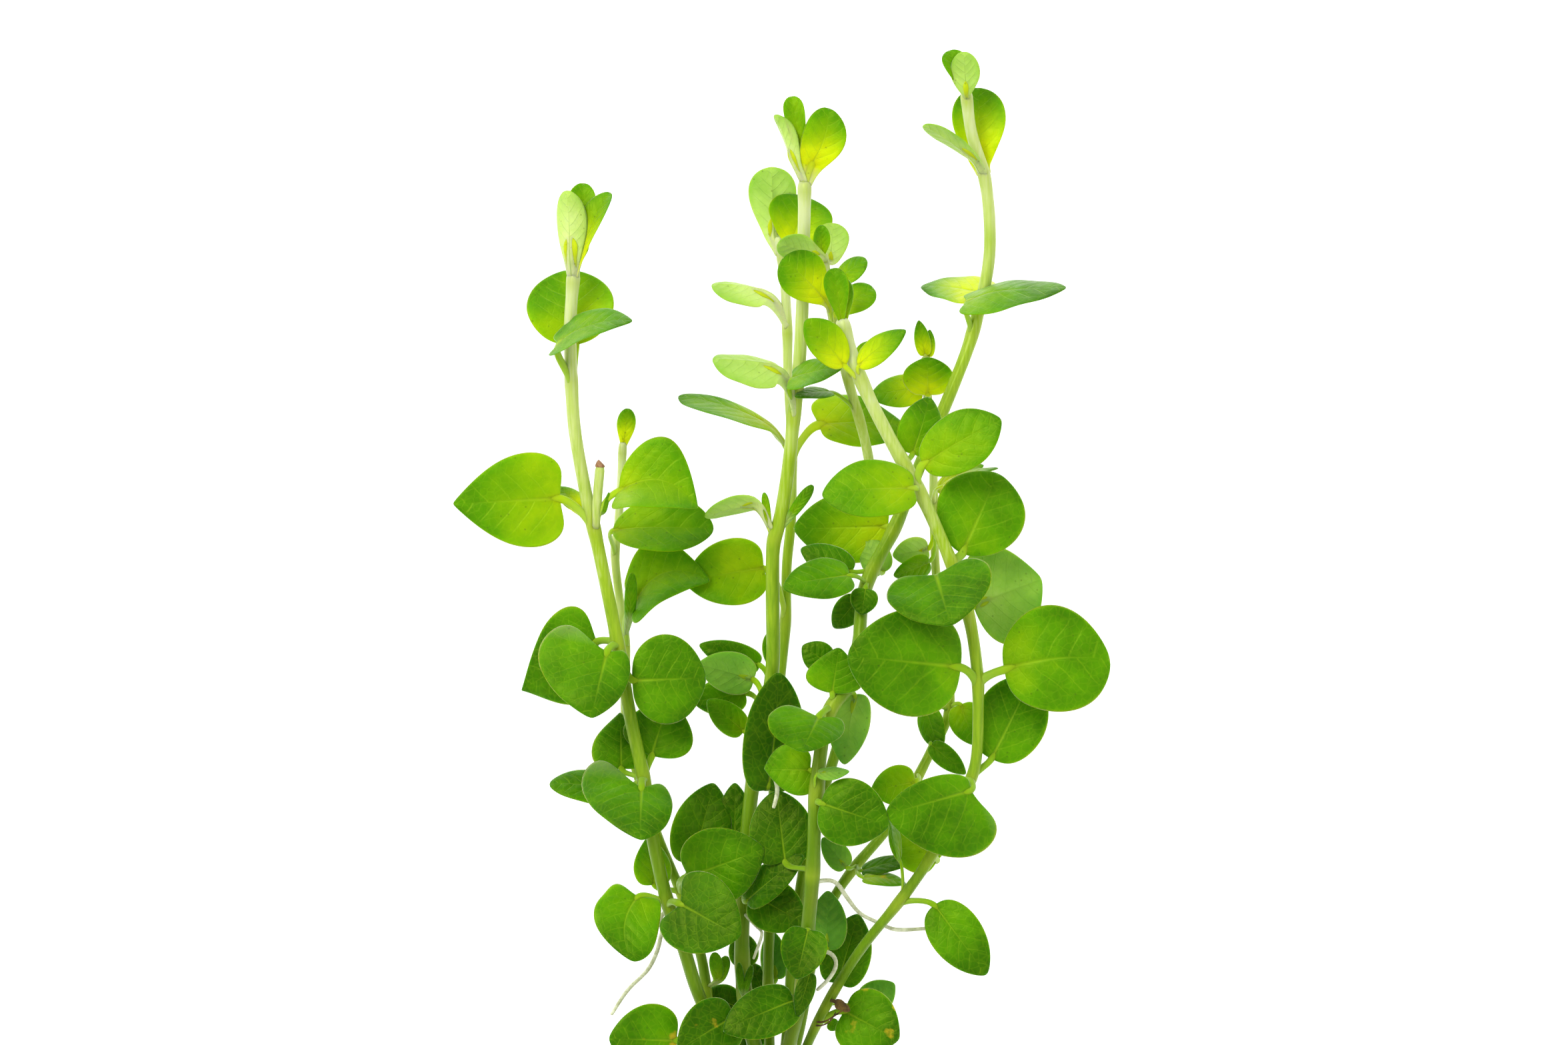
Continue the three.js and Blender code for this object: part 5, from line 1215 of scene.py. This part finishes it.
@dataclass(frozen=True)
class DryFinish:
    """Matt plant matter, fibrous and unpolished: root skin, bark, a dried cut or a dead leaf."""

    name: str
    light: str
    dark: str
    grain_mm: float
    roughness: float
    glow: float

    def material(self) -> bpy.types.Material:
        """Build the material."""
        graph = Graph(self.name)
        place = graph.add("TexCoord", output="Object")
        scale = every(self.grain_mm)
        patch = graph.add("TexNoise", {"Vector": place, "Scale": scale, "Detail": 4.0, "Distortion": 0.4})
        fine = graph.add("TexNoise", {"Vector": place, "Scale": scale * 5, "Detail": 2.0})
        mixed = graph.add("Math", [fine, 0.4, patch], operation="MULTIPLY_ADD")
        colour = graph.add("ValToRGB", [mixed], stops=[(0.5, self.light), (0.86, self.dark)])
        bump = graph.add("Bump", {"Strength": 0.5, "Distance": 0.0003, "Height": mixed})
        return graph.shade(Base_Color=colour, Roughness=self.roughness, Normal=bump,
                           Subsurface_Weight=self.glow, Subsurface_Radius=(1.0, 0.8, 0.5),
                           Subsurface_Scale=0.0008)


FINISHES = {
    # The darkest leaf greens are partly painted shade, for the old leaves deep in the lower bunch
    Skin.UPPER: LeafFinish("leaf_upper_face", (0.0, 0.2, 0.42, 0.62, 0.82, 1.0),
                           ("#BCCA07", "#96B104", "#719B02", "#4A8302", "#2D6201", "#1A4801"),
                           "#B9C28A", "#9CBE20", 0.55, 1.0, 0.42, -1.0),
    Skin.UNDER: LeafFinish("leaf_underside", (0.0, 0.2, 0.5, 0.75, 1.0),
                           ("#C2D480", "#AAC660", "#7CA63A", "#4C8426", "#2C5E18"),
                           "#B9C28A", "#5C8A26", 0.5, 0.3, 0.5, 1.0),
    Skin.STEM: StemFinish("stem_skin", (0.0, 0.12, 0.3, 0.5, 0.8),
                          ("#BCC690", "#B0C06C", "#8EAB22", "#6C9114", "#55790B"), "#94A828", "#7E7A30"),
    Skin.ROOT: DryFinish("root_skin", "#D6DABC", "#A3A980", 1.6, 0.6, 0.3),
    Skin.CUT: DryFinish("dried_cut_end", "#A8835A", "#7A4E30", 0.5, 0.8, 0.0),
    Skin.CROWN: DryFinish("crown_bark", "#8C8A4C", "#5C4426", 1.8, 0.75, 0.05),
    Skin.HUSK: DryFinish("dead_husk", "#6E5414", "#341E04", 1.2, 0.8, 0.0),
}


@dataclass(frozen=True)
class FloorFinish:
    """White acrylic of a light table: matt, and softly lit from below so that it stays white."""

    name: str = "opal_acrylic"
    colour: str = "#B4B4B4"
    glow: float = 0.9

    def material(self) -> bpy.types.Material:
        """Build the material."""
        return Graph(self.name).shade(Base_Color=linear(self.colour), Roughness=0.9,
                                      Specular_IOR_Level=0.1, Emission_Color=(1.0, 1.0, 1.0, 1.0),
                                      Emission_Strength=self.glow)


# The plant and its studio


@dataclass
class Plant:
    """All the pieces of the plant: a blade for each full-grown leaf, a shoot for each stem, the crown."""

    finishes: dict[Skin, bpy.types.Material] = field(default_factory=dict)

    def build(self) -> None:
        """Build every piece in the order crown, leaves, shoots."""
        self.finishes = {skin: finish.material() for skin, finish in FINISHES.items()}
        sculpt = Sculpt()
        Crown().grow(sculpt)
        self.keep(sculpt, "rootstock", "crown")
        for name, leaf in LEAVES.items():
            sculpt = Sculpt()
            leaf.grow(sculpt, BLADE_ROWS, BLADE_COLUMNS)
            self.keep(sculpt, name.replace("leaf_", "blade_"), name)
        for name, shoot in SHOOTS.items():
            self.keep(self.shoot(name, shoot), f"shoot_{name}", f"stem_{name}")

    def shoot(self, name: str, shoot: Shoot) -> Sculpt:
        """Make a stem with everything that is fused to it.

        Args:
            name: The shoot's letter.
            shoot: The shoot.

        Returns:
            Its mesh.
        """
        sculpt = Sculpt()
        small = [leaf for leaf in SMALL_LEAVES if leaf.stem == name]
        joints = {round(leaf.node) for leaf in [*small, *LEAVES.values()] if leaf.stem == name}
        shoot.grow(sculpt, sorted(joints))
        for leaf in small:
            leaf.grow(sculpt, SMALL_ROWS, SMALL_COLUMNS)
        for root in ROOTS:
            if root.stem == name:
                root.grow(sculpt)
        if name == STUB.stem:
            STUB.grow(sculpt)
        return sculpt

    def keep(self, sculpt: Sculpt, name: str, node: str) -> None:
        """Finish a piece, put it in its node's place and report it.

        Args:
            sculpt: Its mesh.
            name: Its name.
            node: The node that it stands for.
        """
        piece = sculpt.finish(name, self.finishes)
        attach(piece, "root")
        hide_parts(node)
        LOG.info("%s stands for %s, %d faces", name, node, len(piece.data.polygons))


@dataclass(frozen=True)
class Lamp:
    """A square soft light that points at the plant, in metres and watts."""

    name: str
    place: Triple
    power: float
    size: float

    def hang(self) -> None:
        """Hang the lamp."""
        data = bpy.data.lights.new(self.name, "AREA")
        data.energy = self.power
        data.size = self.size
        lamp = bpy.data.objects.new(self.name, data)
        lamp.location = self.place
        lamp.rotation_euler = (-Vector(self.place)).to_track_quat("-Z", "Y").to_euler()
        bpy.context.scene.collection.objects.link(lamp)


@dataclass
class Studio:
    """A white table under soft light, with the camera straight above the plant, in metres."""

    frame_width: float = 0.2352  # what the picture takes in at the plant's middle height
    look_at: Triple = (0.00036, 0.01059, 0.016)
    distance: float = 2.0
    sensor: float = 36.0  # width of the camera's sensor, in millimetres
    view_end: float = 20.0  # how far the camera sees
    floor_size: float = 6.0
    ambient: float = 0.85
    lamps: tuple[Lamp, ...] = (Lamp("key", (-0.9, 1.0, 1.5), 34.0, 1.2),
                               Lamp("fill", (1.3, -0.6, 1.3), 8.0, 1.6))

    def build(self) -> None:
        """Build the floor, the lights and the camera."""
        self.floor()
        for lamp in self.lamps:
            lamp.hang()
        world = bpy.data.worlds.new("studio")
        world.use_nodes = True
        sky = world.node_tree.nodes["Background"]
        sky.inputs["Color"].default_value = (1.0, 1.0, 1.0, 1.0)
        sky.inputs["Strength"].default_value = self.ambient
        bpy.context.scene.world = world
        bpy.context.scene.view_settings.view_transform = "Standard"
        self.camera()

    def floor(self) -> None:
        """Lay the table top under the plant."""
        mesh = bmesh.new()
        bmesh.ops.create_grid(mesh, x_segments=1, y_segments=1, size=self.floor_size / 2)
        data = bpy.data.meshes.new("floor")
        mesh.to_mesh(data)
        mesh.free()
        data.materials.append(FloorFinish().material())
        floor = bpy.data.objects.new("floor", data)
        bpy.context.scene.collection.objects.link(floor)

    def camera(self) -> None:
        """Look straight down on the plant."""
        data = bpy.data.cameras.new("camera")
        data.sensor_width = self.sensor
        data.lens = self.sensor * self.distance / self.frame_width
        data.clip_end = self.view_end
        camera = bpy.data.objects.new("camera", data)
        camera.location = Vector(self.look_at) + Vector((0, 0, self.distance))
        bpy.context.scene.collection.objects.link(camera)
        bpy.context.scene.camera = camera


def main() -> None:
    """Build the plant and its studio."""
    logging.basicConfig(level=logging.INFO, format="%(message)s")
    Plant().build()
    Studio().build()


if __name__ == "__main__":
    main()
